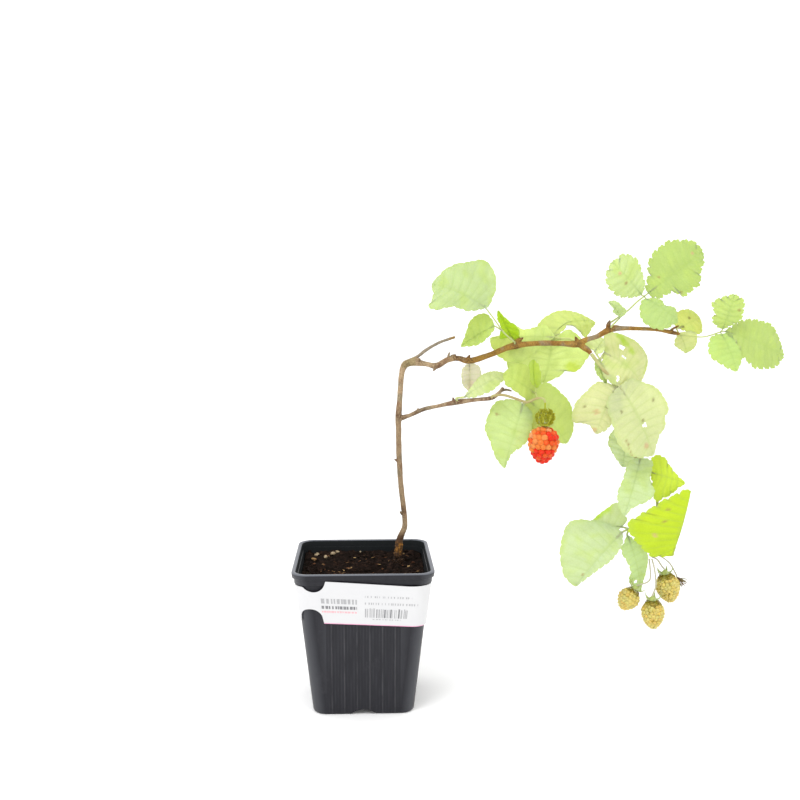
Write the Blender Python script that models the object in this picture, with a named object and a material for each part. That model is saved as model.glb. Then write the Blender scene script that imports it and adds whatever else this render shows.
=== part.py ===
"""Potted raspberry bush: a square nursery pot of peat with one leaning, fruiting cane.

Sizes and places below are millimetres, +X along the leaning branch, +Z up, with the origin at the middle
of the pot's foot. mesh_object turns them into Blender's metres.
"""

import math

import bmesh
import bpy
from mathutils import Vector, geometry, noise

MM = 0.001
GAP = 0.3                # between pieces that touch

POT_HEIGHT = 95.0
POT_RIM_WIDTH = 90.0
POT_FOOT_WIDTH = 65.0
POT_NECK_WIDTH = 84.0    # body just under the rim
POT_WALL = 1.2
RIM_SKIRT = 7.5          # height of the turned rim: a lip over a collar
POT_COLLAR_WIDTH = 86.6
LIP_DEPTH = 3.8
RIM_LEDGE_DEPTH = 4.5    # step inside the rim
CORNER_ROUND = 9.0
RIBS_PER_SIDE = 6
RIB_PITCH = 8.0
RIB_WIDTH = 1.4
RIB_HEIGHT = 0.4
RIB_FOOT = 4.0
SLOT_WIDTH = 17.0        # arched drain slot at the foot of each side
SLOT_HEIGHT = 2.2
DRAIN_HOLE = 8.0
DRAIN_HOLE_PLACE = 17.0

SOIL_LEVEL = 85.0
SOIL_BUMP = 2.2
CANE_HOLE_DEPTH = 40.0

LABEL_PAPER = 0.6
LABEL_LOW = 61.5
LABEL_SLOPE = 0.05       # its lower edge falls by this share of the way to the right
LABEL_TUCKED_TOP = 86.8  # where the band is tucked under the collar
LABEL_PROUD_TOP = 90.7   # where it laps over the collar at the left of the front
LABEL_NOTCH = 7.4        # radius of its two half-round notches
LABEL_ENDS = (-124.0, 118.0)
LABEL_UPPER_NOTCH = (-30.0, 91.0)
LABEL_LOWER_NOTCH = (-33.0, 65.0)
LABEL_LAP = 1.0          # how far its top edge is bowed out where it laps the collar

BLADE = 0.7              # leaf thickness
SEPAL = 0.6
PEDICEL = 0.55

PEAT = (0.035, 0.024, 0.018)
BARK = (0.26, 0.15, 0.085)
STALK_GREEN = (0.52, 0.66, 0.22)
LEAF_PALE = (0.68, 0.86, 0.36)
LEAF_YELLOW = (0.80, 0.85, 0.40)
LEAF_VIVID = (0.62, 0.86, 0.08)
LEAF_WITHERED = (0.86, 0.74, 0.60)
RIPE_RED = (0.87, 0.13, 0.05)
UNRIPE = (0.66, 0.60, 0.13)
CALYX = (0.38, 0.41, 0.06)
LEAF_DRIED = (0.30, 0.20, 0.12)


def clear_scene():
    for old in list(bpy.data.objects):
        bpy.data.objects.remove(old, do_unlink=True)


def finish(name, colour, roughness):
    """A plain material of one colour."""
    material = bpy.data.materials.new(name)
    material.use_nodes = True
    shader = material.node_tree.nodes["Principled BSDF"]
    shader.inputs["Base Color"].default_value = (*colour, 1.0)
    shader.inputs["Roughness"].default_value = roughness
    shader.inputs["Metallic"].default_value = 0.0
    return material


def mesh_object(name, points, faces):
    """A closed mesh, given in millimetres, with its faces pointing out."""
    mesh = bpy.data.meshes.new(name)
    mesh.from_pydata([Vector(point) * MM for point in points], [], faces)
    work = bmesh.new()
    work.from_mesh(mesh)
    bmesh.ops.recalc_face_normals(work, faces=work.faces)
    work.to_mesh(mesh)
    work.free()
    made = bpy.data.objects.new(name, mesh)
    bpy.context.scene.collection.objects.link(made)
    return made


def boolean(target, others, operation, solver):
    """Joins the other objects to the target, or cuts them from it, and removes them."""
    group = bpy.data.collections.new("operands")
    for other in others:
        group.objects.link(other)
    modifier = target.modifiers.new("boolean", "BOOLEAN")
    modifier.operation = operation
    modifier.operand_type = "COLLECTION"
    modifier.collection = group
    modifier.solver = solver
    evaluated = target.evaluated_get(bpy.context.evaluated_depsgraph_get())
    result = bpy.data.meshes.new_from_object(evaluated)
    target.modifiers.clear()
    target.data = result
    for other in others:
        bpy.data.objects.remove(other, do_unlink=True)
    bpy.data.collections.remove(group)


def grown_together(name, pieces, material):
    """One named object out of pieces that grow into each other."""
    whole = pieces[0]
    if len(pieces) > 1:
        boolean(whole, pieces[1:], "UNION", "MANIFOLD")
    whole.name = name
    whole.data.name = name
    whole.data.materials.clear()
    whole.data.materials.append(material)
    whole.data.shade_smooth()
    whole.data.set_sharp_from_angle(angle=math.radians(40))
    return whole


def ring_stack(rings, closed_ends=True):
    """Points and faces of a skin over rings that all have the same number of points."""
    count = len(rings[0])
    points = [point for ring in rings for point in ring]
    faces = []
    for level in range(len(rings) - 1):
        for k in range(count):
            a = level * count + k
            b = level * count + (k + 1) % count
            faces.append((a, b, b + count, a + count))
    if closed_ends:
        faces.append(tuple(range(count)))
        faces.append(tuple(range((len(rings) - 1) * count, len(rings) * count)))
    return points, faces


def smooth_route(points, steps):
    """Points on a Catmull-Rom curve through the given ones, with steps on each stretch."""
    ends = [points[0] * 2 - points[1]] + list(points) + [points[-1] * 2 - points[-2]]
    route = []
    for a, b, c, d in zip(ends, ends[1:], ends[2:], ends[3:]):
        for k in range(steps):
            t = k / steps
            route.append((b * 2 + (c - a) * t + (a * 2 - b * 5 + c * 4 - d) * t * t
                          + (b * 3 - a - c * 3 + d) * t * t * t) / 2)
    route.append(points[-1].copy())
    return route


def tube(route, sides, name="tube"):
    """A round stem along (x, y, z, radius) points."""
    middles = [Vector(stop[:3]) for stop in route]
    side = None
    rings = []
    for k, (middle, stop) in enumerate(zip(middles, route)):
        along = (middles[min(k + 1, len(route) - 1)] - middles[max(k - 1, 0)]).normalized()
        if side is None:
            side = along.orthogonal().normalized()
        side = (side - along * side.dot(along)).normalized()
        across = along.cross(side)
        turns = [2 * math.pi * n / sides for n in range(sides)]
        rings.append([middle + (side * math.cos(turn) + across * math.sin(turn)) * stop[3]
                      for turn in turns])
    return mesh_object(name, *ring_stack(rings))


def bud(base, tip, radius):
    """A pointed bud or a knot on a stem."""
    base = Vector(base)
    tip = Vector(tip)
    shape = ((0.0, 0.8), (0.45, 1.0), (1.0, 0.25))
    return tube([(*base.lerp(tip, along), radius * wide) for along, wide in shape], 5)


def leaving(stem, stop, towards):
    """The first two points of a stalk that leaves a stem square to it, just clear of its bark."""
    here = Vector(stem[stop][:3])
    before = Vector(stem[max(stop - 1, 0)][:3])
    after = Vector(stem[min(stop + 1, len(stem) - 1)][:3])
    axis = (after - before).normalized()
    out = Vector(towards) - here
    out = (out - axis * out.dot(axis)).normalized()
    reach = stem[stop][3] + GAP
    return [here + out * reach, here + out * (reach + 1.5)]


def stalk(points, radius):
    """A thin stalk that tapers to two thirds of its thickness."""
    last = len(points) - 1
    return tube([(*point, radius * (1 - k / last / 3)) for k, point in enumerate(points)], 4)


# The pot: moulded black plastic, tapering to its foot, with upright ribs and a turned rim.

def body_half(z):
    """Half the width of the pot's outer wall at a height."""
    return (POT_FOOT_WIDTH + (POT_NECK_WIDTH - POT_FOOT_WIDTH) * z / (POT_HEIGHT - RIM_SKIRT)) / 2


def pot_ring(half, corner, z):
    """A rounded square."""
    ring = []
    for quarter in range(4):
        turn = quarter * math.pi / 2
        for step in range(5):
            angle = -math.pi / 2 + step * math.pi / 8
            x = half - corner + corner * math.cos(angle)
            y = corner - half + corner * math.sin(angle)
            ring.append((x * math.cos(turn) - y * math.sin(turn), x * math.sin(turn) + y * math.cos(turn), z))
    return ring


def rib(quarter, across):
    """One upright rib on a side of the pot: a low wedge sunk into the wall."""
    sunk = 0.4
    turn = quarter * math.pi / 2
    rings = []
    for z in (RIB_FOOT, POT_HEIGHT - RIM_SKIRT - 1):
        ring = []
        for step, out in ((-0.5, -sunk), (0, RIB_HEIGHT), (0.5, -sunk)):
            x = across + step * RIB_WIDTH
            y = -body_half(z) - out
            ring.append((x * math.cos(turn) - y * math.sin(turn), x * math.sin(turn) + y * math.cos(turn), z))
        rings.append(ring)
    return mesh_object("rib", *ring_stack(rings))


def cylinder(radius, low, high, sides):
    """A round bar between two points."""
    return tube([(*low, radius), (*high, radius)], sides, "cutter")


def make_pot():
    neck = POT_HEIGHT - RIM_SKIRT
    rim = POT_RIM_WIDTH / 2
    collar = POT_COLLAR_WIDTH / 2
    lip_low = POT_HEIGHT - LIP_DEPTH
    ledge = POT_HEIGHT - RIM_LEDGE_DEPTH
    foot_chamfer = 1.0
    shape = [(body_half(0) - foot_chamfer, CORNER_ROUND - foot_chamfer, 0.0),
             (body_half(foot_chamfer), CORNER_ROUND, foot_chamfer),
             (body_half(neck), CORNER_ROUND, neck),
             (collar, CORNER_ROUND, neck),
             (collar, CORNER_ROUND, lip_low),
             (rim - 0.3, CORNER_ROUND + 1, lip_low),
             (rim, CORNER_ROUND + 1, POT_HEIGHT),
             (rim - 2.4, CORNER_ROUND, POT_HEIGHT),
             (rim - 3.0, CORNER_ROUND, ledge),
             (body_half(ledge) - POT_WALL, CORNER_ROUND - 1, ledge),
             (body_half(POT_WALL) - POT_WALL, CORNER_ROUND - 1, POT_WALL)]
    pot = mesh_object("pot", *ring_stack([pot_ring(*level) for level in shape]))
    arch = (SLOT_WIDTH ** 2 / 4 + SLOT_HEIGHT ** 2) / (2 * SLOT_HEIGHT)
    slot_inner, slot_outer = POT_FOOT_WIDTH / 2 - 6, POT_FOOT_WIDTH / 2 + 4
    cutters = []
    for x, y in ((1, 0), (0, 1), (-1, 0), (0, -1)):
        inner = (x * slot_inner, y * slot_inner, SLOT_HEIGHT - arch)
        outer = (x * slot_outer, y * slot_outer, SLOT_HEIGHT - arch)
        cutters.append(cylinder(arch, inner, outer, 48))
    for x in (-DRAIN_HOLE_PLACE, DRAIN_HOLE_PLACE):
        for y in (-DRAIN_HOLE_PLACE, DRAIN_HOLE_PLACE):
            cutters.append(cylinder(DRAIN_HOLE / 2, (x, y, -1), (x, y, POT_WALL + 1), 10))
    boolean(pot, cutters, "DIFFERENCE", "EXACT")
    ribs = [rib(quarter, (n - (RIBS_PER_SIDE - 1) / 2) * RIB_PITCH) for quarter in range(4)
            for n in range(RIBS_PER_SIDE)]
    boolean(pot, ribs, "UNION", "EXACT")
    grown_together("pot", [pot], finish("black plastic", (0.022, 0.023, 0.028), 0.35))


# The soil: fills the pot, with a lumpy top and a plain hole for the cane's foot.

def make_soil():
    around = 36
    low = POT_WALL + GAP
    low_half = body_half(low) - POT_WALL - GAP
    top_half = body_half(SOIL_LEVEL) - POT_WALL - GAP
    corner = CORNER_ROUND - 1

    def square_point(half, turn):
        direction = Vector((math.cos(turn), math.sin(turn)))
        reach = half / max(abs(direction.x), abs(direction.y))
        point = direction * reach
        inner = Vector((math.copysign(half - corner, point.x), math.copysign(half - corner, point.y)))
        if abs(point.x) > half - corner and abs(point.y) > half - corner:
            point = inner + (point - inner).normalized() * corner
        return point

    def lumpy(x, y):
        wide = noise.noise(Vector((x, y, 3.0)) * 0.09)
        fine = noise.noise(Vector((x, y, 9.0)) * 0.27)
        return SOIL_LEVEL + SOIL_BUMP * (wide + 0.6 * fine)

    rings = []
    for half, z in ((low_half, low), (top_half, None)):
        ring = []
        for k in range(around):
            point = square_point(half, 2 * math.pi * (k + 0.5) / around)
            ring.append((point.x, point.y, lumpy(point.x, point.y) if z is None else z))
        rings.append(ring)
    for inward in (0.88, 0.72, 0.55, 0.37, 0.18):
        rings.append([(x * inward, y * inward, lumpy(x * inward, y * inward)) for x, y, _ in rings[1]])
    soil = mesh_object("soil", *ring_stack(rings))
    foot = CANE[0]
    crown = CANE[2]
    hole = cylinder(foot[3] + GAP, (foot[0], foot[1], SOIL_LEVEL - CANE_HOLE_DEPTH),
                    (crown[0], crown[1], SOIL_LEVEL + 8), 12)
    boolean(soil, [hole], "DIFFERENCE", "EXACT")
    grown_together("soil", [soil], finish("peat", PEAT, 0.95))


# The label: a paper band round the pot, lapped over the rim in front, with two half-round notches.

def wall_point(along, z, off):
    """A point off the pot's wall, at a distance along the wall from the middle of the front."""
    reference = body_half(75.0)
    straight = 2 * (reference - CORNER_ROUND)
    arc = CORNER_ROUND * math.pi / 2
    quarter = straight + arc
    side = math.floor((along + straight / 2) / quarter)
    rest = along + straight / 2 - side * quarter
    half = body_half(z)
    inner = half - CORNER_ROUND
    if rest <= straight:
        x, y = (rest / straight * 2 - 1) * inner, -half - off
    else:
        angle = -math.pi / 2 + (rest - straight) / arc * math.pi / 2
        x = inner + (CORNER_ROUND + off) * math.cos(angle)
        y = -inner + (CORNER_ROUND + off) * math.sin(angle)
    turn = side * math.pi / 2
    return (x * math.cos(turn) - y * math.sin(turn), x * math.sin(turn) + y * math.cos(turn), z)


def make_label():
    left_end, right_end = LABEL_ENDS
    end_round = 6.0
    lap_start, tuck_start = -22, 28

    def blend(value, start, end):
        share = min(max((value - start) / (end - start), 0.0), 1.0)
        return share * share * (3 - 2 * share)

    def edges(along):
        share = (along - lap_start) / (tuck_start - lap_start)
        top = LABEL_PROUD_TOP + (LABEL_TUCKED_TOP - LABEL_PROUD_TOP) * share
        top = max(LABEL_TUCKED_TOP, top) if along > lap_start - 4 else LABEL_TUCKED_TOP
        low = LABEL_LOW - LABEL_SLOPE * min(max(along, -40), 40)
        reach = abs(along - LABEL_UPPER_NOTCH[0])
        if reach < LABEL_NOTCH:
            top = min(top, LABEL_UPPER_NOTCH[1] - math.sqrt(LABEL_NOTCH ** 2 - reach ** 2))
        reach = abs(along - LABEL_LOWER_NOTCH[0])
        if reach < LABEL_NOTCH:
            low = max(low, LABEL_LOWER_NOTCH[1] + math.sqrt(LABEL_NOTCH ** 2 - reach ** 2))
        to_end = min(along - left_end, right_end - along)
        if to_end < end_round:
            inset = end_round - math.sqrt(end_round ** 2 - (end_round - to_end) ** 2)
            top -= inset
            low += inset
        return low, top

    coarse = [along for along in range(int(left_end) + 6, int(right_end) - 5, 5) if not -42 < along < -20]
    fine = [-42 + k * 1.3 for k in range(18)]
    ends = [left_end, left_end + 1, left_end + 3, right_end - 3, right_end - 1, right_end]
    rings = []
    for along in sorted(coarse + fine + ends):
        low, top = edges(along)
        lap = LABEL_LAP * blend(along, -36, -26) * (1 - blend(along, 30, 38))
        section = []
        for z, paper in ((low, 0), (top, 0), (top, LABEL_PAPER), (low, LABEL_PAPER)):
            rise = max(0.0, z - LABEL_LOW) / (POT_HEIGHT - RIM_SKIRT - LABEL_LOW)
            section.append(wall_point(along, z, RIB_HEIGHT + GAP + lap * rise + paper))
        rings.append(section)
    label = mesh_object("pot_label", *ring_stack(rings))
    grown_together("pot_label", [label], finish("white paper", (0.90, 0.90, 0.90), 0.6))


# The woody cane: (x, y, z, radius), from its foot in the soil to the tip of the main branch.

CANE = [(23, 14, 47, 3.0), (23, 14, 72, 3.1), (23, 14, 85, 3.1), (24, 15, 94, 3.0), (24.5, 15.5, 101, 2.7),
        (26, 16, 106, 2.1), (28, 17, 111, 1.8), (28, 17, 119, 1.6), (25.7, 16, 139, 1.65),
        (24, 14, 160, 1.7), (23.4, 12.5, 178, 1.65), (23.4, 12, 187, 2.0), (24.2, 11.5, 197, 1.65),
        (25.5, 11, 212, 1.65), (26.6, 11, 219, 1.8), (29, 11, 222.6, 2.1), (34, 11, 223, 2.2),
        (42, 10, 221.5, 1.7), (49, 9, 220.4, 2.0), (56, 8, 224.3, 1.9), (63, 7, 225.4, 1.75),
        (71, 6, 223.8, 2.0), (84, 4, 228, 1.8), (92, 3, 231.4, 1.8), (99.8, 2, 234, 2.3),
        (108, 1, 235, 1.75), (119, 0, 235.7, 1.75), (130, -1, 235.4, 1.75), (140, -2, 235.2, 2.4),
        (146, -2, 238, 1.7), (153, -2, 241.4, 1.6), (162, -1, 246, 2.3), (170, 0, 246.4, 1.5),
        (182, 2, 245.5, 1.3), (194, 4, 244.2, 1.2), (205, 6, 242.2, 1.4), (210, 7, 241.2, 0.9)]
NODE_WITHERED, NODE_A, NODE_B, NODE_D, NODE_E = 21, 24, 28, 31, 35

DEAD_STUB = [(29, 11.5, 222.6, 1.4), (36, 12.5, 226, 1.15), (43, 14, 231, 1.1), (51.5, 15, 235.6, 1.0),
             (61.8, 17, 239, 0.9)]
LOWER_BRANCH = [(23.4, 12, 185.4, 1.3), (27.5, 11, 187.8, 1.5), (31.5, 9, 189, 1.25), (40, 5, 192.8, 1.4),
                (50.7, 1, 195.4, 1.25), (62, -2, 197.4, 1.8), (73, -4, 199, 1.25), (83.5, -5, 200.3, 1.4),
                (88.6, -5, 203.6, 1.2), (91.5, -4, 207, 1.0)]
LOWER_NODE = 5
FORK_TWIG = [(89.5, -4.8, 204.6, 0.9), (93.4, -2.6, 205.4, 0.8), (97.4, -1, 204.4, 0.6)]
KNOT_STUB = [(140.5, -2, 235.3, 1.9), (144, -4, 232.8, 1.9), (146.6, -5.6, 231, 1.7), (148, -6, 229.2, 1.5)]
TIP_TWIG = [(203, 6, 243, 0.8), (206, 5, 245.4, 0.7), (208.6, 4, 246.8, 0.5)]
SIDE_TWIG = [(56, 8, 224.5, 0.9), (56.6, 6.5, 227.4, 0.8), (57.2, 5.5, 229.4, 0.6)]

BUDS = [((24.5, 15.6, 155), (20.8, 15.0, 157.5), 1.0), ((35, 10, 223.5), (38.5, 8.6, 225), 1.5),
        ((48.6, 9, 219.5), (46.6, 8, 216.8), 1.0), ((58, 7.5, 225.5), (61.5, 5.8, 228), 1.4),
        ((69, 6, 224.5), (70.5, 4, 228), 1.3), ((100, 2, 236), (105, -0.5, 239.3), 1.5),
        ((140, -2, 237), (138, -3.6, 240), 1.3), ((160, -1, 246.5), (160.8, -3, 250.6), 1.5),
        ((163, -1, 245.5), (165.5, 1, 243), 1.2), ((36.5, 7, 191.5), (35.4, 6, 188.6), 0.9),
        ((59.5, -1.8, 198), (58.6, -3.6, 200.8), 1.0), ((26.5, 16.5, 119), (24.7, 15.2, 121.5), 0.9)]
CROWN_KNOTS = [((23, 13, 90), (20.2, 11.6, 94.5), 2.0), ((25, 15, 96), (27.8, 12.8, 99.5), 1.6),
               ((22.5, 15, 86), (19.6, 17.5, 89.5), 1.9), ((25.5, 13.5, 87), (28.4, 11.8, 89.5), 1.7)]


def make_cane():
    pieces = [tube(CANE, 7)]
    for branch in (DEAD_STUB, LOWER_BRANCH, FORK_TWIG, KNOT_STUB, TIP_TWIG, SIDE_TWIG):
        pieces.append(tube(branch, 5))
    pieces += [bud(*knot) for knot in BUDS + CROWN_KNOTS]
    grown_together("cane", pieces, finish("bark", BARK, 0.75))


# The green laterals: soft shoots of this year that carry the hanging leaves and the fruit.

FRUITING_LATERAL = [(148.3, -6.1, 228.8, 1.25), (155, -6.6, 220, 1.1), (164, -4, 209.5, 1.2),
                    (171, 0, 192, 1.05), (177, 3, 170.6, 1.15), (183, 4, 157, 1.1), (190, 4.6, 146, 1.0),
                    (197, 4.4, 131, 0.95), (197, 3, 112, 1.05), (194, 1, 98, 0.95), (192.6, 0.4, 93, 1.1)]
LATERAL_TOP, LATERAL_YELLOW, LATERAL_GREEN, LATERAL_MIDDLE, LATERAL_VIVID, LATERAL_LOW = 1, 2, 4, 5, 6, 8
LATERAL_END = 9
BERRY_LATERAL = [(83.2, -7.3, 201, 0.8), (85, -8.6, 202.2, 0.8), (91, -9.5, 202.6, 0.85),
                 (99, -9.4, 200.2, 0.8), (106, -9.4, 198, 0.95), (112, -11, 200.4, 0.8),
                 (116, -13.2, 200.6, 0.7), (117.2, -14, 198.2, 0.7)]
SHOOT_TWO_LEAVES, SHOOT_FOLDED = 4, 5


def make_laterals():
    green = finish("green shoot", STALK_GREEN, 0.6)
    grown_together("fruiting_lateral", [tube(FRUITING_LATERAL, 6)], green)
    grown_together("berry_lateral", [tube(BERRY_LATERAL, 6)], green)


# The leaves: toothed leaflets on their stalks, each leaf one grown piece.

def leaf_outline(points, length, teeth):
    """The edge of half a leaflet from its base to its tip, cut into teeth that point to the tip."""
    stops = [Vector((0, 0)), *[Vector(point) for point in points], Vector((length, 0))]
    fine = smooth_route(stops, 8)
    reach = [0.0]
    for a, b in zip(fine, fine[1:]):
        reach.append(reach[-1] + (b - a).length)
    depth = 1.0 + length * 0.012
    edge = []
    for k in range(2 * teeth + 1):
        goal = reach[-1] * k / (2 * teeth)
        n = min(max(i for i, value in enumerate(reach) if value <= goal + 1e-6), len(fine) - 2)
        point = fine[n].lerp(fine[n + 1], (goal - reach[n]) / (reach[n + 1] - reach[n]))
        along = (fine[n + 1] - fine[n]).normalized()
        if k % 2:
            point += Vector((-along.y, along.x)) * depth * 0.8 + along * depth * 0.4
        edge.append(point)
    return edge


class Leaflet:
    """Where one leaflet lies: base and tip, the way it faces, and how far its middle is lifted."""

    def __init__(self, base, tip, face, arch):
        self.base = Vector(base)
        self.length = (Vector(tip) - self.base).length
        self.along = (Vector(tip) - self.base).normalized()
        front = Vector(face)
        self.front = (front - self.along * front.dot(self.along)).normalized()
        self.side = self.front.cross(self.along)
        self.arch = arch

    def point(self, along, out=0.0, angle=0.0):
        share = min(max(along / self.length, 0.0), 1.0)
        turn = math.radians(angle)
        lift = self.arch * 4 * share * (1 - share) + abs(out) * math.sin(turn)
        return self.base + self.along * along + self.side * out * math.cos(turn) + self.front * lift


def blade(leaflet, left, right, fold, teeth, back):
    """A thin toothed sheet. Its outline is given as (along, out) distances on each side of the midrib.

    Fold turns both halves forward from the midrib by so many degrees, or only the left one where the
    right half has its own angle, back.
    """
    count = 2 * teeth
    skin = []
    for k in range(count + 1):
        share = k / count
        skin.append(leaflet.point(leaflet.length * share * (1 - 0.22 * (1 - share))))
    faces = []
    for sign, outline, angle in ((1, left, fold), (-1, right, fold if back is None else back)):
        edge = leaf_outline(outline, leaflet.length, teeth)
        first = len(skin) - 1
        for k in range(1, count):
            ripple = leaflet.front * (0.35 if k % 2 else -0.35)
            skin.append(leaflet.point(edge[k].x, sign * edge[k].y, angle) + ripple)
        for k in range(count):
            if k == 0:
                loops = [[0, first + 1, 1]]
            elif k == count - 1:
                loops = [[k, first + k, count]]
            else:
                loops = [[k, first + k, first + k + 1], [k, first + k + 1, k + 1]]
            faces += [loop if sign == 1 else loop[::-1] for loop in loops]
    return thick_skin(skin, faces, BLADE)


def thick_skin(skin, faces, thickness):
    """A closed sheet of even thickness round an open skin, split into the same triangles on both sides."""
    normals = [Vector() for _ in skin]
    borders = set()
    for loop in faces:
        normal = geometry.normal([skin[n] for n in loop])
        for n, corner in enumerate(loop):
            normals[corner] += normal
            borders.add((corner, loop[(n + 1) % len(loop)]))
    size = len(skin)
    points = [point + normal.normalized() * thickness / 2 for point, normal in zip(skin, normals)]
    points += [point - normal.normalized() * thickness / 2 for point, normal in zip(skin, normals)]
    closed = faces + [[corner + size for corner in reversed(loop)] for loop in faces]
    for a, b in sorted(borders):
        if (b, a) not in borders:
            closed += [[b, a, a + size], [b, a + size, b + size]]
    return mesh_object("sheet", points, closed)


def leaf(name, colour, petiole, radius, *leaflets):
    """One leaf: its petiole, and leaflets on stalks from the petiole's end, each sunk into its midrib."""
    pieces = []
    for number, spec in enumerate(leaflets):
        leaflet = Leaflet(spec["base"], spec["tip"], spec["face"], spec["arch"])
        pieces.append(blade(leaflet, spec["left"], spec["right"], spec["fold"], spec["teeth"],
                            spec.get("back")))
        own = [Vector(stop) for stop in spec.get("via", [])]
        own += [leaflet.point(leaflet.length * share) for share in (0.0, 0.1)]
        if number == 0:
            pieces.append(stalk(petiole + own, radius))
        else:
            pieces.append(stalk(petiole[-1:] + own, radius * 0.8))
    grown_together(name, pieces, finish(name, colour, 0.55))


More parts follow.
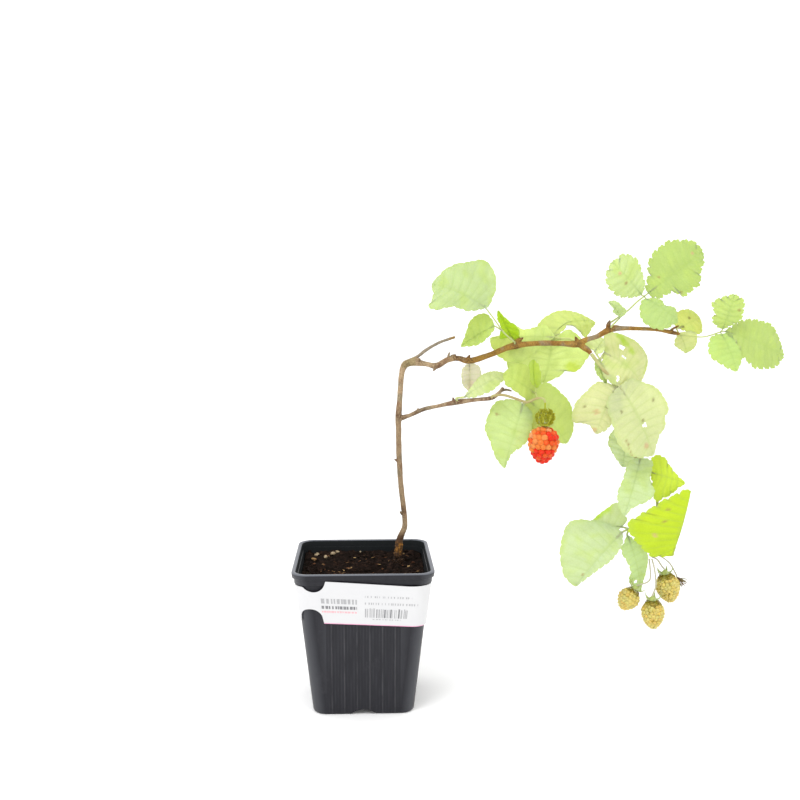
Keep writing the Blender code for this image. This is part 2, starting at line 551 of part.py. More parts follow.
def make_leaves():
    leaf("leaf_cane_side", LEAF_PALE,
         leaving(CANE, NODE_A, (92, -14, 246)) + [Vector((94, -6.5, 240)), Vector((90, -7.5, 244))], 0.9,
         dict(base=(79, -10, 258.5), tip=(43, -20, 274), face=(0.10, -0.85, 0.50), arch=4, fold=-8, teeth=9,
              via=[(84, -9, 252)],
              left=[(7, 6), (20, 9), (34, 17), (40, 9)],
              right=[(-6, 8), (-6, 21), (6, 31), (20, 26), (34, 13)]),
         dict(base=(85, -6.5, 247), tip=(64, 0, 234), face=(-0.35, -0.85, 0.40), arch=2, fold=10, teeth=6,
              left=[(4, 5), (12, 8), (21, 5)], right=[(2, 8), (9, 12), (20, 7)]))
    leaf("leaf_folded_green", LEAF_VIVID,
         leaving(CANE, NODE_A, (98, 8, 239)), 0.7,
         dict(base=(97.6, 5, 240), tip=(87, 4, 257), face=(-0.45, -0.85, 0.25), arch=1.5, fold=25, teeth=6,
              left=[(3, 5), (12, 4)], right=[(1, 7), (10, 9), (17, 5)]))
    leaf("leaf_behind_branch", LEAF_PALE,
         leaving(CANE, NODE_B, (138, 9, 238)) + [Vector((137, 7, 238)), Vector((132, 11, 238))], 0.9,
         dict(base=(127, 14.5, 237), tip=(122, 14, 210), face=(0.05, -1.0, 0.0), arch=4, fold=8, teeth=9,
              left=[(-1, 14), (6, 26), (15, 21), (22, 12)], right=[(1, 12), (9, 25), (18, 27), (24, 14)]),
         dict(base=(128, 19, 239), tip=(156, 23, 249), face=(0.10, -0.85, 0.50), arch=3, fold=-10, teeth=7,
              via=[(131, 16, 238)],
              left=[(-3, 9), (2, 14), (13, 17), (24, 10)], right=[(8, 2), (16, 1), (23, 4)]),
         dict(base=(128, 11, 239), tip=(101, 13, 243), face=(-0.10, -0.88, 0.40), arch=2, fold=-6, teeth=7,
              left=[(8, 6), (20, 8), (26, 6)], right=[(1, 7), (10, 9), (20, 6)]))
    leaf("leaf_withered", LEAF_WITHERED,
         leaving(CANE, NODE_WITHERED, (71, 14, 223)), 0.6,
         dict(base=(71, 12.4, 222), tip=(70, 16, 201), face=(0.1, -0.95, 0.2), arch=2, fold=28, teeth=6,
              left=[(2, 10), (10, 14), (17, 9)], right=[(4, 6), (12, 8), (18, 5)]))
    leaf("leaf_lower_node", LEAF_PALE,
         leaving(LOWER_BRANCH, LOWER_NODE, (66, -6, 202)), 0.8,
         dict(base=(66, -4.4, 201), tip=(96, 5, 217), face=(-0.20, -0.80, 0.55), arch=2, fold=-8, teeth=8,
              left=[(6, 4), (18, 8), (30, 5)], right=[(6, 4), (16, 7), (28, 6)]))
    leaf("leaf_lower_tip", LEAF_PALE,
         leaving(BERRY_LATERAL, SHOOT_TWO_LEAVES, (106, 0, 197)) + [Vector((106, -5.6, 197))], 0.8,
         dict(base=(104.6, -3.4, 196), tip=(90, -2, 154), face=(-0.15, -0.95, 0.25),
              arch=3.5, fold=-6, teeth=10,
              left=[(4, 8), (18, 10), (30, 9), (36, 2)],
              right=[(0, 9), (9, 19), (21, 21), (32, 13), (40, 7)]),
         dict(base=(108, -0.6, 199.4), tip=(136, 10, 168), face=(0.05, -0.95, 0.30), arch=3, fold=-6, teeth=9,
              left=[(0, 10), (9, 18), (20, 18), (32, 17)], right=[(5, 8), (17, 12), (32, 7)]))
    leaf("leaf_folded_over_berry", LEAF_VIVID,
         leaving(BERRY_LATERAL, SHOOT_FOLDED, (112, -6, 203)) + [Vector((112, -7, 203.4))], 0.7,
         dict(base=(111.6, -4.4, 203.4), tip=(94, -4.4, 213.5), face=(-0.2, -0.88, 0.45),
              arch=2, fold=-8, teeth=6,
              left=[(3, 6), (13, 8)], right=[(2, 7), (12, 8), (20, 5)]),
         dict(base=(112.4, -7.4, 207), tip=(111, -5.5, 224), face=(-0.75, -0.65, 0.1),
              arch=1.5, fold=25, teeth=5,
              left=[(3, 5), (11, 5)], right=[(4, 6), (12, 5)]))
    leaf("leaf_at_knot", LEAF_PALE,
         leaving(FRUITING_LATERAL, LATERAL_TOP, (157, 2, 223)) + [Vector((155.6, -1, 224.6))], 0.8,
         dict(base=(159, 2, 229), tip=(189, 10, 210), face=(0.25, -0.80, 0.55), arch=4, fold=-6, teeth=10,
              left=[(-2, 8), (8, 20), (22, 24), (35, 20)], right=[(1, 8), (10, 12), (24, 12)]),
         dict(base=(152.5, 1.4, 230), tip=(162, 8, 238), face=(0.0, -0.85, 0.5), arch=1, fold=12, teeth=5,
              left=[(4, 5), (11, 5)], right=[(5, 4), (11, 4)]))
    leaf("leaf_hanging_yellow", LEAF_YELLOW,
         leaving(FRUITING_LATERAL, LATERAL_YELLOW, (166, -10, 209)), 0.9,
         dict(base=(166.6, -8.4, 208), tip=(187, -15, 163), face=(0.25, -0.92, 0.30),
              arch=4, fold=-5, teeth=11,
              left=[(0, 12), (8, 24), (22, 27), (34, 20), (43, 10)],
              right=[(6, 12), (20, 17), (36, 16), (46, 9)]),
         dict(base=(165, -8.4, 208), tip=(152, -14, 176), face=(-0.30, -0.90, 0.30), arch=3, fold=-5, teeth=9,
              left=[(6, 5), (18, 6), (28, 5)], right=[(3, 10), (14, 19), (26, 21), (34, 13)]))
    leaf("leaf_hanging_green", LEAF_PALE,
         leaving(FRUITING_LATERAL, LATERAL_GREEN, (176, 12, 173)), 0.8,
         dict(base=(176, 10, 172), tip=(172, 10.5, 147), face=(0.0, -0.98, 0.1), arch=1.5, fold=4, teeth=7,
              left=[(-2, 7), (8, 12), (18, 8)], right=[(-3, 8), (6, 13), (17, 8)]))
    leaf("leaf_middle", LEAF_PALE,
         leaving(FRUITING_LATERAL, LATERAL_MIDDLE, (183, -8, 160)), 0.8,
         dict(base=(183.4, -1.6, 160), tip=(170, -12, 122), face=(-0.15, -0.95, 0.25),
              arch=4, fold=8, teeth=9,
              left=[(0, 6), (10, 9), (24, 10), (34, 5)], right=[(5, 8), (18, 10), (32, 6)]))
    leaf("leaf_middle_vivid", LEAF_VIVID,
         leaving(FRUITING_LATERAL, LATERAL_VIVID, (191, -3, 148)), 0.8,
         dict(base=(191.6, 1.2, 149.4), tip=(213, -2, 141), face=(0.20, -0.92, 0.30),
              arch=1.5, fold=-4, teeth=7,
              left=[(-2, 9), (4, 14), (13, 9)], right=[(3, 12), (11, 21), (20, 16)]))
    leaf("leaf_vivid", LEAF_VIVID,
         leaving(FRUITING_LATERAL, LATERAL_END, (199, -6, 98)), 0.8,
         dict(base=(205, -7, 95), tip=(214, -13, 140), face=(0.05, -0.95, 0.25), arch=3, fold=4, teeth=11,
              via=[(199, -4.6, 95)], back=-65,
              left=[(-2, 10), (3, 24), (14, 34), (26, 27), (38, 13)], right=[(6, 7), (22, 14), (38, 9)]))
    leaf("leaf_low", LEAF_PALE,
         leaving(FRUITING_LATERAL, LATERAL_LOW, (192, 6, 112)) + [Vector((184, 2, 113)),
                                                                  Vector((177, -2, 112))], 0.9,
         dict(base=(171.6, -6, 111), tip=(137, -18, 78), face=(-0.30, -0.88, 0.38), arch=5, fold=-6, teeth=11,
              left=[(6, 5), (20, 8), (38, 5)], right=[(2, 9), (8, 22), (20, 29), (36, 22), (45, 11)]),
         dict(base=(173, -0.6, 113), tip=(147, 8, 106), face=(0.1, -0.7, 0.7), arch=2, fold=20, teeth=6,
              left=[(6, 3), (16, 3)], right=[(0, 11), (7, 16), (17, 8)]),
         dict(base=(176, -1.6, 108), tip=(188, 9, 66), face=(0.30, -0.92, 0.2), arch=2.5, fold=-6, teeth=9,
              left=[(5, 8), (17, 13), (29, 11)], right=[(6, 6), (20, 7), (32, 6)]))
    leaf("leaf_top", LEAF_PALE,
         leaving(CANE, NODE_D, (164, 4, 252)) + [Vector((167, 1.8, 252)), Vector((174, 2, 257)),
                                                 Vector((180, 2.4, 262.6)), Vector((184.5, 2.6, 266))], 0.9,
         dict(base=(187.4, 4, 268), tip=(225, 14, 295), face=(0.20, -0.90, 0.38), arch=4, fold=-6, teeth=11,
              left=[(7, 9), (16, 16), (28, 20), (40, 16)], right=[(6, 9), (17, 15), (32, 18), (43, 10)]),
         dict(base=(182.6, 2.6, 267), tip=(161, -4, 288), face=(-0.30, -0.90, 0.30), arch=3, fold=-6, teeth=8,
              left=[(3, 7), (12, 12), (24, 11)], right=[(4, 7), (14, 11), (25, 12)]),
         dict(base=(185.6, 1.2, 264.4), tip=(203, -7, 246), face=(0.20, -0.88, 0.42),
              arch=2, fold=-6, teeth=8,
              left=[(3, 6), (10, 10), (20, 8)], right=[(3, 6), (12, 12), (22, 9)]))
    leaf("leaf_small_curled", LEAF_PALE,
         leaving(CANE, NODE_D, (166, -8, 251)), 0.6,
         dict(base=(166.4, -5, 251.6), tip=(159, -8, 261), face=(-0.2, -0.7, 0.7), arch=2, fold=30, teeth=4,
              left=[(4, 5), (11, 4)], right=[(1, 5), (8, 6)]))
    leaf("leaf_at_tip", LEAF_YELLOW,
         leaving(CANE, NODE_E, (207, 12, 246)) + [Vector((208.4, 9.6, 245.4))], 0.7,
         dict(base=(211, 11.4, 245), tip=(229, 18, 252), face=(0.2, -0.90, 0.40), arch=2, fold=-6, teeth=7,
              left=[(0, 7), (7, 12), (15, 9)], right=[(4, 6), (12, 9), (18, 6)]),
         dict(base=(210.4, 10, 242), tip=(215, 13, 228), face=(0.1, -0.95, 0.3), arch=2, fold=10, teeth=6,
              left=[(2, 8), (10, 10)], right=[(1, 5), (9, 5)]))
    branch_tip = Vector(CANE[-1][:3])
    leaf("leaf_far", LEAF_PALE,
         [branch_tip + Vector((GAP + 0.1, 0.2, -0.1)), Vector((216, 6.4, 240)), Vector((226, 5, 239.4)),
          Vector((237, 5.6, 242.6))], 0.8,
         dict(base=(240, 6, 243), tip=(284, 13, 222), face=(0.25, -0.92, 0.30), arch=4, fold=-6, teeth=11,
              left=[(5, 9), (16, 18), (30, 21), (42, 16)], right=[(6, 6), (18, 14), (32, 14), (43, 8)]),
         dict(base=(238.2, 5, 244.4), tip=(243, 0, 267), face=(-0.15, -0.90, 0.40), arch=2, fold=-6, teeth=8,
              left=[(4, 7), (13, 11), (21, 7)], right=[(4, 6), (13, 10), (22, 8)]),
         dict(base=(237.4, 4.6, 241.4), tip=(244, -3, 216), face=(0.10, -0.97, 0.25),
              arch=2, fold=-6, teeth=8,
              left=[(3, 6), (12, 8), (21, 7)], right=[(1, 7), (10, 13), (19, 8)]))


# The berries: drupelets packed over an egg, each with its hairy calyx above it.

def berry(name, top, tip, width, colour, bulge):
    """A raspberry that hangs from top to tip. Each cell of a rounded ball is one domed drupelet."""
    ball = bmesh.new()
    bmesh.ops.create_icosphere(ball, subdivisions=2, radius=1.0)
    top = Vector(top)
    axis = (Vector(tip) - top).normalized()
    side = axis.orthogonal().normalized()
    across = axis.cross(side)
    length = (Vector(tip) - top).length

    def place(direction, out):
        d = direction.normalized()
        shoulder = 1 + 0.25 * d.z
        flat = (side * d.x + across * d.y) * shoulder * width / 2
        normal = (side * d.x + across * d.y - axis * d.z).normalized()
        return top + axis * length * (1 - d.z) / 2 + flat + normal * out

    points = []
    index = {}
    faces = []

    def number(key, direction, out):
        if key not in index:
            index[key] = len(points)
            points.append(place(direction, out))
        return index[key]

    for drupelet in ball.verts:
        peak = number((drupelet.index,), drupelet.co, bulge)
        for edge in drupelet.link_edges:
            shoulders = []
            valleys = []
            for face in edge.link_faces:
                middle = face.calc_center_median()
                shoulders.append(number((drupelet.index, face.index), drupelet.co.lerp(middle, 0.6),
                                        bulge * 0.6))
                valleys.append(number(("valley", face.index), middle, -bulge))
            faces.append((peak, shoulders[0], shoulders[1]))
            faces.append((shoulders[0], valleys[0], valleys[1], shoulders[1]))
    ball.free()
    grown_together(name, [mesh_object(name, points, faces)], finish(name, colour, 0.3))


def sepal(root, end, axis):
    """A small lance-shaped sepal."""
    length = (end - root).length
    along = (end - root).normalized()
    front = (axis - along * axis.dot(along)).normalized()
    side = front.cross(along)
    skin = [root, end]
    for share, half in ((0.3, 0.2), (0.65, 0.16)):
        for sign in (-1, 1):
            skin.append(root + along * length * share + side * sign * half * length - front * 0.08 * length)
    return thick_skin(skin, [[0, 3, 2], [2, 3, 5], [2, 5, 4], [4, 5, 1]], SEPAL)


def calyx(name, route, top, tip, cup, sepals, flare, colour):
    """A pedicel with a small cup at its end, and sepals bent back from the berry by flare (out, up)."""
    top = Vector(top)
    axis = (Vector(tip) - top).normalized()
    side = axis.orthogonal().normalized()
    across = axis.cross(side)
    middle = top - axis * (GAP + 1.0)
    pieces = [stalk([Vector(stop) for stop in route] + [middle - axis * 2.5, middle - axis], PEDICEL)]
    dome = [(*(middle - axis * 1.9), cup * 0.5), (*(middle - axis * 0.6), cup),
            (*(middle + axis * 0.4), cup * 0.9)]
    pieces.append(tube(dome, 7))
    for n in range(sepals):
        turn = 2 * math.pi * (n + 0.3) / sepals
        out = side * math.cos(turn) + across * math.sin(turn)
        root = middle - axis * 0.6 + out * cup * 0.4
        pieces.append(sepal(root, root + out * flare[0] - axis * flare[1], axis))
    grown_together(name, pieces, finish(name, colour, 0.8))


RIPE_TOP, RIPE_TIP = (117, -14, 182.4), (115.7, -14, 158.5)
GREEN_BERRIES = {
    "left": dict(top=(181, -3, 70), tip=(172.8, -3, 57.6), width=13.5,
                 pedicel=[(191.4, -1, 91.2), (192, -3, 80), (190, -3.4, 76)]),
    "low": dict(top=(193, -6, 63.4), tip=(193.8, -6, 44.8), width=14.5,
                pedicel=[(193, -1.6, 91.4), (194.6, -3.5, 84), (195, -5.4, 74)]),
    "right": dict(top=(204.4, 4, 78.4), tip=(208.6, 4.4, 59.6), width=15.5,
                  pedicel=[(194, 0.6, 92), (198, 2.4, 89.6), (201.4, 3.6, 85)]),
}


DRIED_FLOWER = dict(top=(216, 6.4, 73.4), tip=(219.5, 5.4, 70),
                    pedicel=[(194.6, 3.4, 91), (201, 9, 90.5), (209, 11.4, 85), (213, 9.4, 78)])


def make_fruit():
    berry("berry_ripe", RIPE_TOP, RIPE_TIP, 19.0, RIPE_RED, 0.6)
    end = Vector(BERRY_LATERAL[-1][:3])
    calyx("calyx_ripe", [end - Vector((0, 0, GAP + 0.1)), end - Vector((0, 0, 2.5))], RIPE_TOP, RIPE_TIP,
          3.8, 6, (5.0, 8.0), CALYX)
    for place, spec in GREEN_BERRIES.items():
        berry("berry_unripe_" + place, spec["top"], spec["tip"], spec["width"], UNRIPE, 0.45)
        calyx("calyx_unripe_" + place, spec["pedicel"], spec["top"], spec["tip"], 2.6, 5, (4.2, 2.4), CALYX)
    calyx("dried_flower", DRIED_FLOWER["pedicel"], DRIED_FLOWER["top"], DRIED_FLOWER["tip"], 1.2, 5,
          (2.6, -2.4), LEAF_DRIED)


def main():
    clear_scene()
    make_pot()
    make_soil()
    make_label()
    make_cane()
    make_laterals()
    make_leaves()
    make_fruit()


main()
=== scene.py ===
"""A potted raspberry bush: a square nursery pot of peat with one leaning cane in leaf and in fruit.

Sizes and places are millimetres in the frame's own axes: +X along the leaning branch, +Z up, origin under the
middle of the pot. Meshes are scaled to metres as they are made.
"""

import math
import random

import bmesh
import bpy
from mathutils import Matrix, Vector, geometry, noise


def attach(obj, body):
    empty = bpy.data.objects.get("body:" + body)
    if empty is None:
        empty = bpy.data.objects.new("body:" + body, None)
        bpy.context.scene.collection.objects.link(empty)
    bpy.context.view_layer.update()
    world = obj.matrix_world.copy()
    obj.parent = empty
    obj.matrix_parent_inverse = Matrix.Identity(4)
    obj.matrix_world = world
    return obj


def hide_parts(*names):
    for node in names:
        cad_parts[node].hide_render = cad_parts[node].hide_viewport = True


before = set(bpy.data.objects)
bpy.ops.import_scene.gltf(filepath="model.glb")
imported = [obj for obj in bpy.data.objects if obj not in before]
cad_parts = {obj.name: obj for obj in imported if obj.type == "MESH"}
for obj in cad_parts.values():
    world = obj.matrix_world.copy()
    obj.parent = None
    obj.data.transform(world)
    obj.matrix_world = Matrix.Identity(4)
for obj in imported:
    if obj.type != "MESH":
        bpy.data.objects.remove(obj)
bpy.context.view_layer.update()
MM = 0.001


# The camera stands in front of the pot, a little above the cane's bend, and looks slightly down and to the
# right. Its lens gives the photograph's frame.

camera_data = bpy.data.cameras.new("camera")
camera_data.sensor_width = 36.0
camera_data.lens = 43.66
camera = bpy.data.objects.new("camera", camera_data)
camera.location = (0.00075, -0.6297, 0.26397)
camera.rotation_euler = (math.radians(84.084), 0, math.radians(-2.152))
bpy.context.scene.collection.objects.link(camera)
bpy.context.scene.camera = camera
bpy.context.scene.view_settings.view_transform = "Standard"


# The table is a white sweep, lit by a bright white room with one large soft lamp high on the left, so that
# the plant throws only a faint shadow to the right of its pot.

world = bpy.data.worlds.new("white room")
world.use_nodes = True
world.node_tree.nodes["Background"].inputs["Color"].default_value = (1.0, 1.0, 1.0, 1.0)
world.node_tree.nodes["Background"].inputs["Strength"].default_value = 1.3
bpy.context.scene.world = world
lamp_data = bpy.data.lights.new("key lamp", "AREA")
lamp_data.size = 0.6
lamp_data.energy = 9.0
key_lamp = bpy.data.objects.new("key lamp", lamp_data)
key_lamp.location = (-0.5, -0.8, 1.5)
to_plant = Vector((0.09, 0.0, 0.14)) - key_lamp.location
key_lamp.rotation_euler = to_plant.to_track_quat("-Z", "Y").to_euler()
bpy.context.scene.collection.objects.link(key_lamp)
ROOM_LIGHT = 1.72


def seen(red, green, blue):
    """The paint of a matt surface that this light shows as a colour given in steps of 0 to 255. Steps over
    255 make up for what a piece loses in its own shade."""
    return tuple(((part / 255 + 0.055) / 1.055) ** 2.4 / ROOM_LIGHT for part in (red, green, blue))


class Paint:
    """A material in the making: one Principled shader, and the patterns and sums that feed it, as sockets."""

    def __init__(self, name, **inputs):
        self.material = bpy.data.materials.new(name)
        self.material.use_nodes = True
        self.tree = self.material.node_tree
        self.shader = self.tree.nodes["Principled BSDF"]
        self.give(self.shader, inputs)
        self.where = self.node("TexCoord")

    def give(self, node, inputs):
        """Sets a node's inputs, by name or number, from values or from other nodes' sockets."""
        for key, value in inputs.items():
            socket = node.inputs[key.replace("_", " ") if isinstance(key, str) else key]
            if isinstance(value, bpy.types.NodeSocket):
                self.tree.links.new(value, socket)
            else:
                socket.default_value = value

    def node(self, kind, settings=(), **inputs):
        """A new shader node of a kind, with its settings and inputs."""
        made = self.tree.nodes.new("ShaderNode" + kind)
        for key, value in dict(settings).items():
            setattr(made, key, value)
        self.give(made, inputs)
        return made

    def noise(self, scale, detail, roughness=0.5, vector=None):
        """A cloudy pattern in the piece's own space, or over another vector."""
        vector = self.where.outputs["Object"] if vector is None else vector
        made = self.node("TexNoise", Vector=vector, Scale=scale, Detail=detail, Roughness=roughness)
        return made.outputs[0]

    def cells(self, scale, feature="F1"):
        """How far a place lies from the middle, or from the edge, of its random cell."""
        made = self.node("TexVoronoi", {"feature": feature}, Vector=self.where.outputs["Object"], Scale=scale)
        return made.outputs["Distance"]

    def stored(self, name, part):
        """A value that the piece stores at each of its points."""
        return self.node("Attribute", {"attribute_name": name}).outputs[part]

    def sum(self, operation, *values):
        """A sum over numbers or other nodes' sockets."""
        made = self.node("Math", {"operation": operation})
        self.give(made, dict(enumerate(values)))
        return made.outputs[0]

    def times(self, first, second):
        return self.sum("MULTIPLY", first, second)

    def ranged(self, value, low, high, least=0.0, most=1.0):
        """A value from low to high, spread over least to most and held there."""
        made = self.node("MapRange", Value=value, From_Min=low, From_Max=high, To_Min=least, To_Max=most)
        return made.outputs[0]

    def blend(self, share, first, second):
        """A first colour that turns into a second one as the share grows."""
        first, second = ((*part, 1) if isinstance(part, tuple) else part for part in (first, second))
        return self.node("MixRGB", Fac=share, Color1=first, Color2=second).outputs[0]

    def ramp(self, value, first, middle, last):
        """The colour at a value, between three (value, colour) stops."""
        made = self.node("ValToRGB", Fac=value)
        stops = made.color_ramp.elements
        for n, (at, colour) in enumerate((first, last)):
            stops[n].position = at
            stops[n].color = (*colour, 1)
        stops.new(middle[0]).color = (*middle[1], 1)
        return made.outputs[0]

    def tinted(self, share):
        """The tint that the piece stores at each of its points, times a share."""
        made = self.node("VectorMath", {"operation": "SCALE"})
        self.give(made, {0: self.stored("tint", "Color"), 3: share})
        return made.outputs[0]

    def bump(self, height, strength, distance, **inputs):
        """The normal of a fine relief."""
        return self.node("Bump", Height=height, Strength=strength, Distance=distance, **inputs).outputs[0]

    def coat(self, colour, **inputs):
        """Feeds the shader, and returns the finished material."""
        self.give(self.shader, {"Base Color": colour, **inputs})
        return self.material


floor_mesh = bpy.data.meshes.new("floor")
floor_mesh.from_pydata([(-4, -4, 0), (4, -4, 0), (4, 4, 0), (-4, 4, 0)], [], [(0, 1, 2, 3)])
floor = bpy.data.objects.new("floor", floor_mesh)
bpy.context.scene.collection.objects.link(floor)
floor_mesh.materials.append(Paint("white sweep", Base_Color=(1, 1, 1, 1), Roughness=0.9).material)


# The pot is thin black plastic, moulded in one piece: a tapered square body with round corners and six
# upright ribs a side, arched drain slots and holes in its foot, and a collar and a lip turned out on top.

POT_HEIGHT, RIM_WIDTH, FOOT_WIDTH, NECK_WIDTH = 95.0, 90.0, 65.0, 84.0
COLLAR_WIDTH, LIP_DEPTH, RIM_DEPTH, LEDGE_DEPTH = 86.6, 3.8, 7.5, 4.5
WALL, CORNER = 1.2, 9.0
FLOOR_LOW, FLOOR_TOP, RIB_PITCH = 2.4, 3.6, 8.0
RIBBED_HALF, RIBBED_TOP, CORNER_FROM, LIP_FACE = 22.0, 84.0, 23.5, 94.2
RIB_HALF, LINE_PITCH, LINE_HALF = 0.42, 2.0, 0.3


def body_half(z):
    """Half the width of the pot's outer wall at a height."""
    return (FOOT_WIDTH + (NECK_WIDTH - FOOT_WIDTH) * z / (POT_HEIGHT - RIM_DEPTH)) / 2


def spun(x, y, turn):
    """A point of a plan, turned about the plan's middle."""
    return x * math.cos(turn) - y * math.sin(turn), x * math.sin(turn) + y * math.cos(turn)


def pot_ring(half, corner, z, rib=0.0):
    """A rounded square whose sides have six rounded ribs of a given height."""
    rib_half = 0.75
    side = []
    for n in range(6):
        middle = (n - 2.5) * RIB_PITCH
        for step in (-1.0, -0.6, 0.0, 0.6, 1.0):
            side.append((middle + step * rib_half, -half - rib * (1 - step * step)))
    for step in range(9):
        angle = -math.pi / 2 + step * math.pi / 16
        side.append((half - corner + corner * math.cos(angle), corner - half + corner * math.sin(angle)))
    return [(*spun(x, y, quarter * math.pi / 2), z) for quarter in range(4) for x, y in side]


def ring_stack(rings):
    """Points and faces of a closed skin over rings that all have the same number of points."""
    count = len(rings[0])
    points = [point for ring in rings for point in ring]
    faces = [tuple(range(count))]
    for level in range(len(rings) - 1):
        for k in range(count):
            a, b = level * count + k, level * count + (k + 1) % count
            faces.append((a, b, b + count, a + count))
    faces.append(tuple(range((len(rings) - 1) * count, len(rings) * count)))
    return points, faces


def new_piece(name, points, faces, *materials, sharp=40):
    """A smooth mesh piece given in millimetres, with its faces turned out."""
    mesh = bpy.data.meshes.new(name)
    mesh.from_pydata([Vector(point) * MM for point in points], [], faces)
    work = bmesh.new()
    work.from_mesh(mesh)
    bmesh.ops.recalc_face_normals(work, faces=work.faces)
    work.to_mesh(mesh)
    work.free()
    for material in materials:
        mesh.materials.append(material)
    mesh.shade_smooth()
    mesh.set_sharp_from_angle(angle=math.radians(sharp))
    made = bpy.data.objects.new(name, mesh)
    bpy.context.scene.collection.objects.link(made)
    return made


def apply_modifiers(piece):
    """Swaps a piece's mesh for the one its modifiers make."""
    mesh = bpy.data.meshes.new_from_object(piece.evaluated_get(bpy.context.evaluated_depsgraph_get()))
    piece.modifiers.clear()
    piece.data = mesh


def cut(piece, cutters):
    """Cuts other pieces out of one, and removes them."""
    group = bpy.data.collections.new("cutters")
    for cutter in cutters:
        group.objects.link(cutter)
    boolean = piece.modifiers.new("cut", "BOOLEAN")
    boolean.operation = "DIFFERENCE"
    boolean.operand_type = "COLLECTION"
    boolean.collection = group
    apply_modifiers(piece)
    for cutter in cutters:
        bpy.data.objects.remove(cutter, do_unlink=True)
    bpy.data.collections.remove(group)


def spoke(side, across, turn):
    """The way out at a turn, from the two axes that it turns through."""
    return side * math.cos(turn) + across * math.sin(turn)


def bar(start, end, radius, sides):
    """A round bar between two points."""
    start, end = Vector(start), Vector(end)
    side = (end - start).orthogonal().normalized()
    across = (end - start).normalized().cross(side)
    rings = [[middle + spoke(side, across, 2 * math.pi * k / sides) * radius for k in range(sides)]
             for middle in (start, end)]
    return new_piece("bar", *ring_stack(rings))


neck, rim = POT_HEIGHT - RIM_DEPTH, RIM_WIDTH / 2
collar, lip_low, ledge = COLLAR_WIDTH / 2, POT_HEIGHT - LIP_DEPTH, POT_HEIGHT - LEDGE_DEPTH
pot_profile = [(body_half(0) - 1.6, CORNER - 1.6, 0.0), (body_half(0) - 0.5, CORNER - 0.6, 0.35)]
pot_profile += [(body_half(z), CORNER, z, rib) for z, rib in (
    (1.5, 0), (4, 0), (4.8, 0.4), (45, 0.4), (83, 0.4), (RIBBED_TOP, 0), (neck - 0.3, 0))]
pot_profile += [(collar + out, CORNER, z) for out, z in ((-0.3, neck), (0, neck + 0.4), (0.2, lip_low - 0.2))]
pot_profile += [(rim - inset, CORNER + wider, z) for inset, wider, z in (
    (0.7, 0.6, lip_low), (0.3, 1, lip_low + 0.3), (0, 1, POT_HEIGHT - 0.8), (0.2, 1, POT_HEIGHT - 0.2),
    (0.7, 0.7, POT_HEIGHT), (1.9, 0, POT_HEIGHT), (2.5, 0, POT_HEIGHT - 0.5), (3.0, 0, ledge + 0.5),
    (3.3, 0, ledge))]
pot_profile += [(body_half(z) - WALL - inset, CORNER - 1, z + lift) for z, inset, lift in (
    (ledge, -0.3, 0), (ledge, 0, -0.5), (FLOOR_TOP, 0, 0.5), (FLOOR_TOP, 1, 0))]

# Use has left dust and specks on the plastic. Painted highlights make its ribs, mould lines, corners and lip
# paler.
outside = Paint("black plastic", Roughness=0.34, Specular_IOR_Level=0.25)
wall_x, wall_y, wall_z = outside.node("SeparateXYZ", Vector=outside.where.outputs["Object"]).outputs
facing = outside.node("SeparateXYZ", Vector=outside.where.outputs["Normal"]).outputs
face_x, face_y = (outside.sum("ABSOLUTE", facing[n]) for n in (0, 1))
upright = outside.node("Mapping", Vector=outside.where.outputs["Object"], Scale=(420, 420, 6)).outputs[0]
drag = outside.noise(1.0, 5, 0.65, upright)
dust = outside.noise(45, 8, 0.7)
patch = outside.ranged(dust, 0.60, 0.85)
speck = outside.times(outside.ranged(outside.cells(160), 0.0, 0.09, 0.55, 0.0), patch)
across_wall = outside.sum("ADD", outside.times(wall_x, outside.sum("ROUND", face_y)),
                          outside.times(wall_y, outside.sum("ROUND", face_x)))
to_rib = outside.sum("PINGPONG", outside.sum("ADD", across_wall, RIB_PITCH / 2 * MM), RIB_PITCH / 2 * MM)
to_line = outside.sum("PINGPONG", across_wall, LINE_PITCH / 2 * MM)
# Painted highlight: thin pale lines down the rib crests and the fine mould lines between them, broken by the
# streaks.
rib_highlight = outside.times(outside.sum("LESS_THAN", to_rib, RIB_HALF * MM), 0.45)
mould_line_highlight = outside.times(outside.sum("LESS_THAN", to_line, LINE_HALF * MM), 0.12)
on_flat = outside.times(outside.sum("LESS_THAN", outside.sum("ABSOLUTE", across_wall), RIBBED_HALF * MM),
                        outside.sum("LESS_THAN", wall_z, RIBBED_TOP * MM))
painted_line_highlights = outside.times(outside.sum("MAXIMUM", rib_highlight, mould_line_highlight), on_flat)
painted_line_highlights = outside.times(painted_line_highlights, outside.ranged(drag, 0.35, 0.6))
# Painted highlight on the upward faces of the lip and rim.
lip_highlight = outside.times(outside.sum("GREATER_THAN", wall_z, LIP_FACE * MM),
                       outside.sum("GREATER_THAN", facing[2], 0.3))
# Painted highlight on the round corners.
beside = outside.sum("MINIMUM", outside.sum("ABSOLUTE", wall_x), outside.sum("ABSOLUTE", wall_y))
at_corner = outside.sum("GREATER_THAN", beside, CORNER_FROM * MM)
corner_highlight = outside.ranged(outside.times(outside.times(face_x, face_y), at_corner), 0.05, 0.5, 0.0, 0.5)
black = outside.blend(drag, (0.006, 0.006, 0.009), (0.019, 0.019, 0.025))
for share, lighter in ((patch, (0.033, 0.033, 0.039)), (speck, (0.45, 0.44, 0.42)),
                       (painted_line_highlights, (0.075, 0.075, 0.082)), (corner_highlight, (0.075, 0.078, 0.088)),
                       (lip_highlight, (0.115, 0.122, 0.142))):
    black = outside.blend(share, black, lighter)
pot_plastic = outside.coat(black, Roughness=outside.ranged(dust, 0.0, 1.0, 0.26, 0.5),
                           Normal=outside.bump(drag, 0.25, 0.0002))
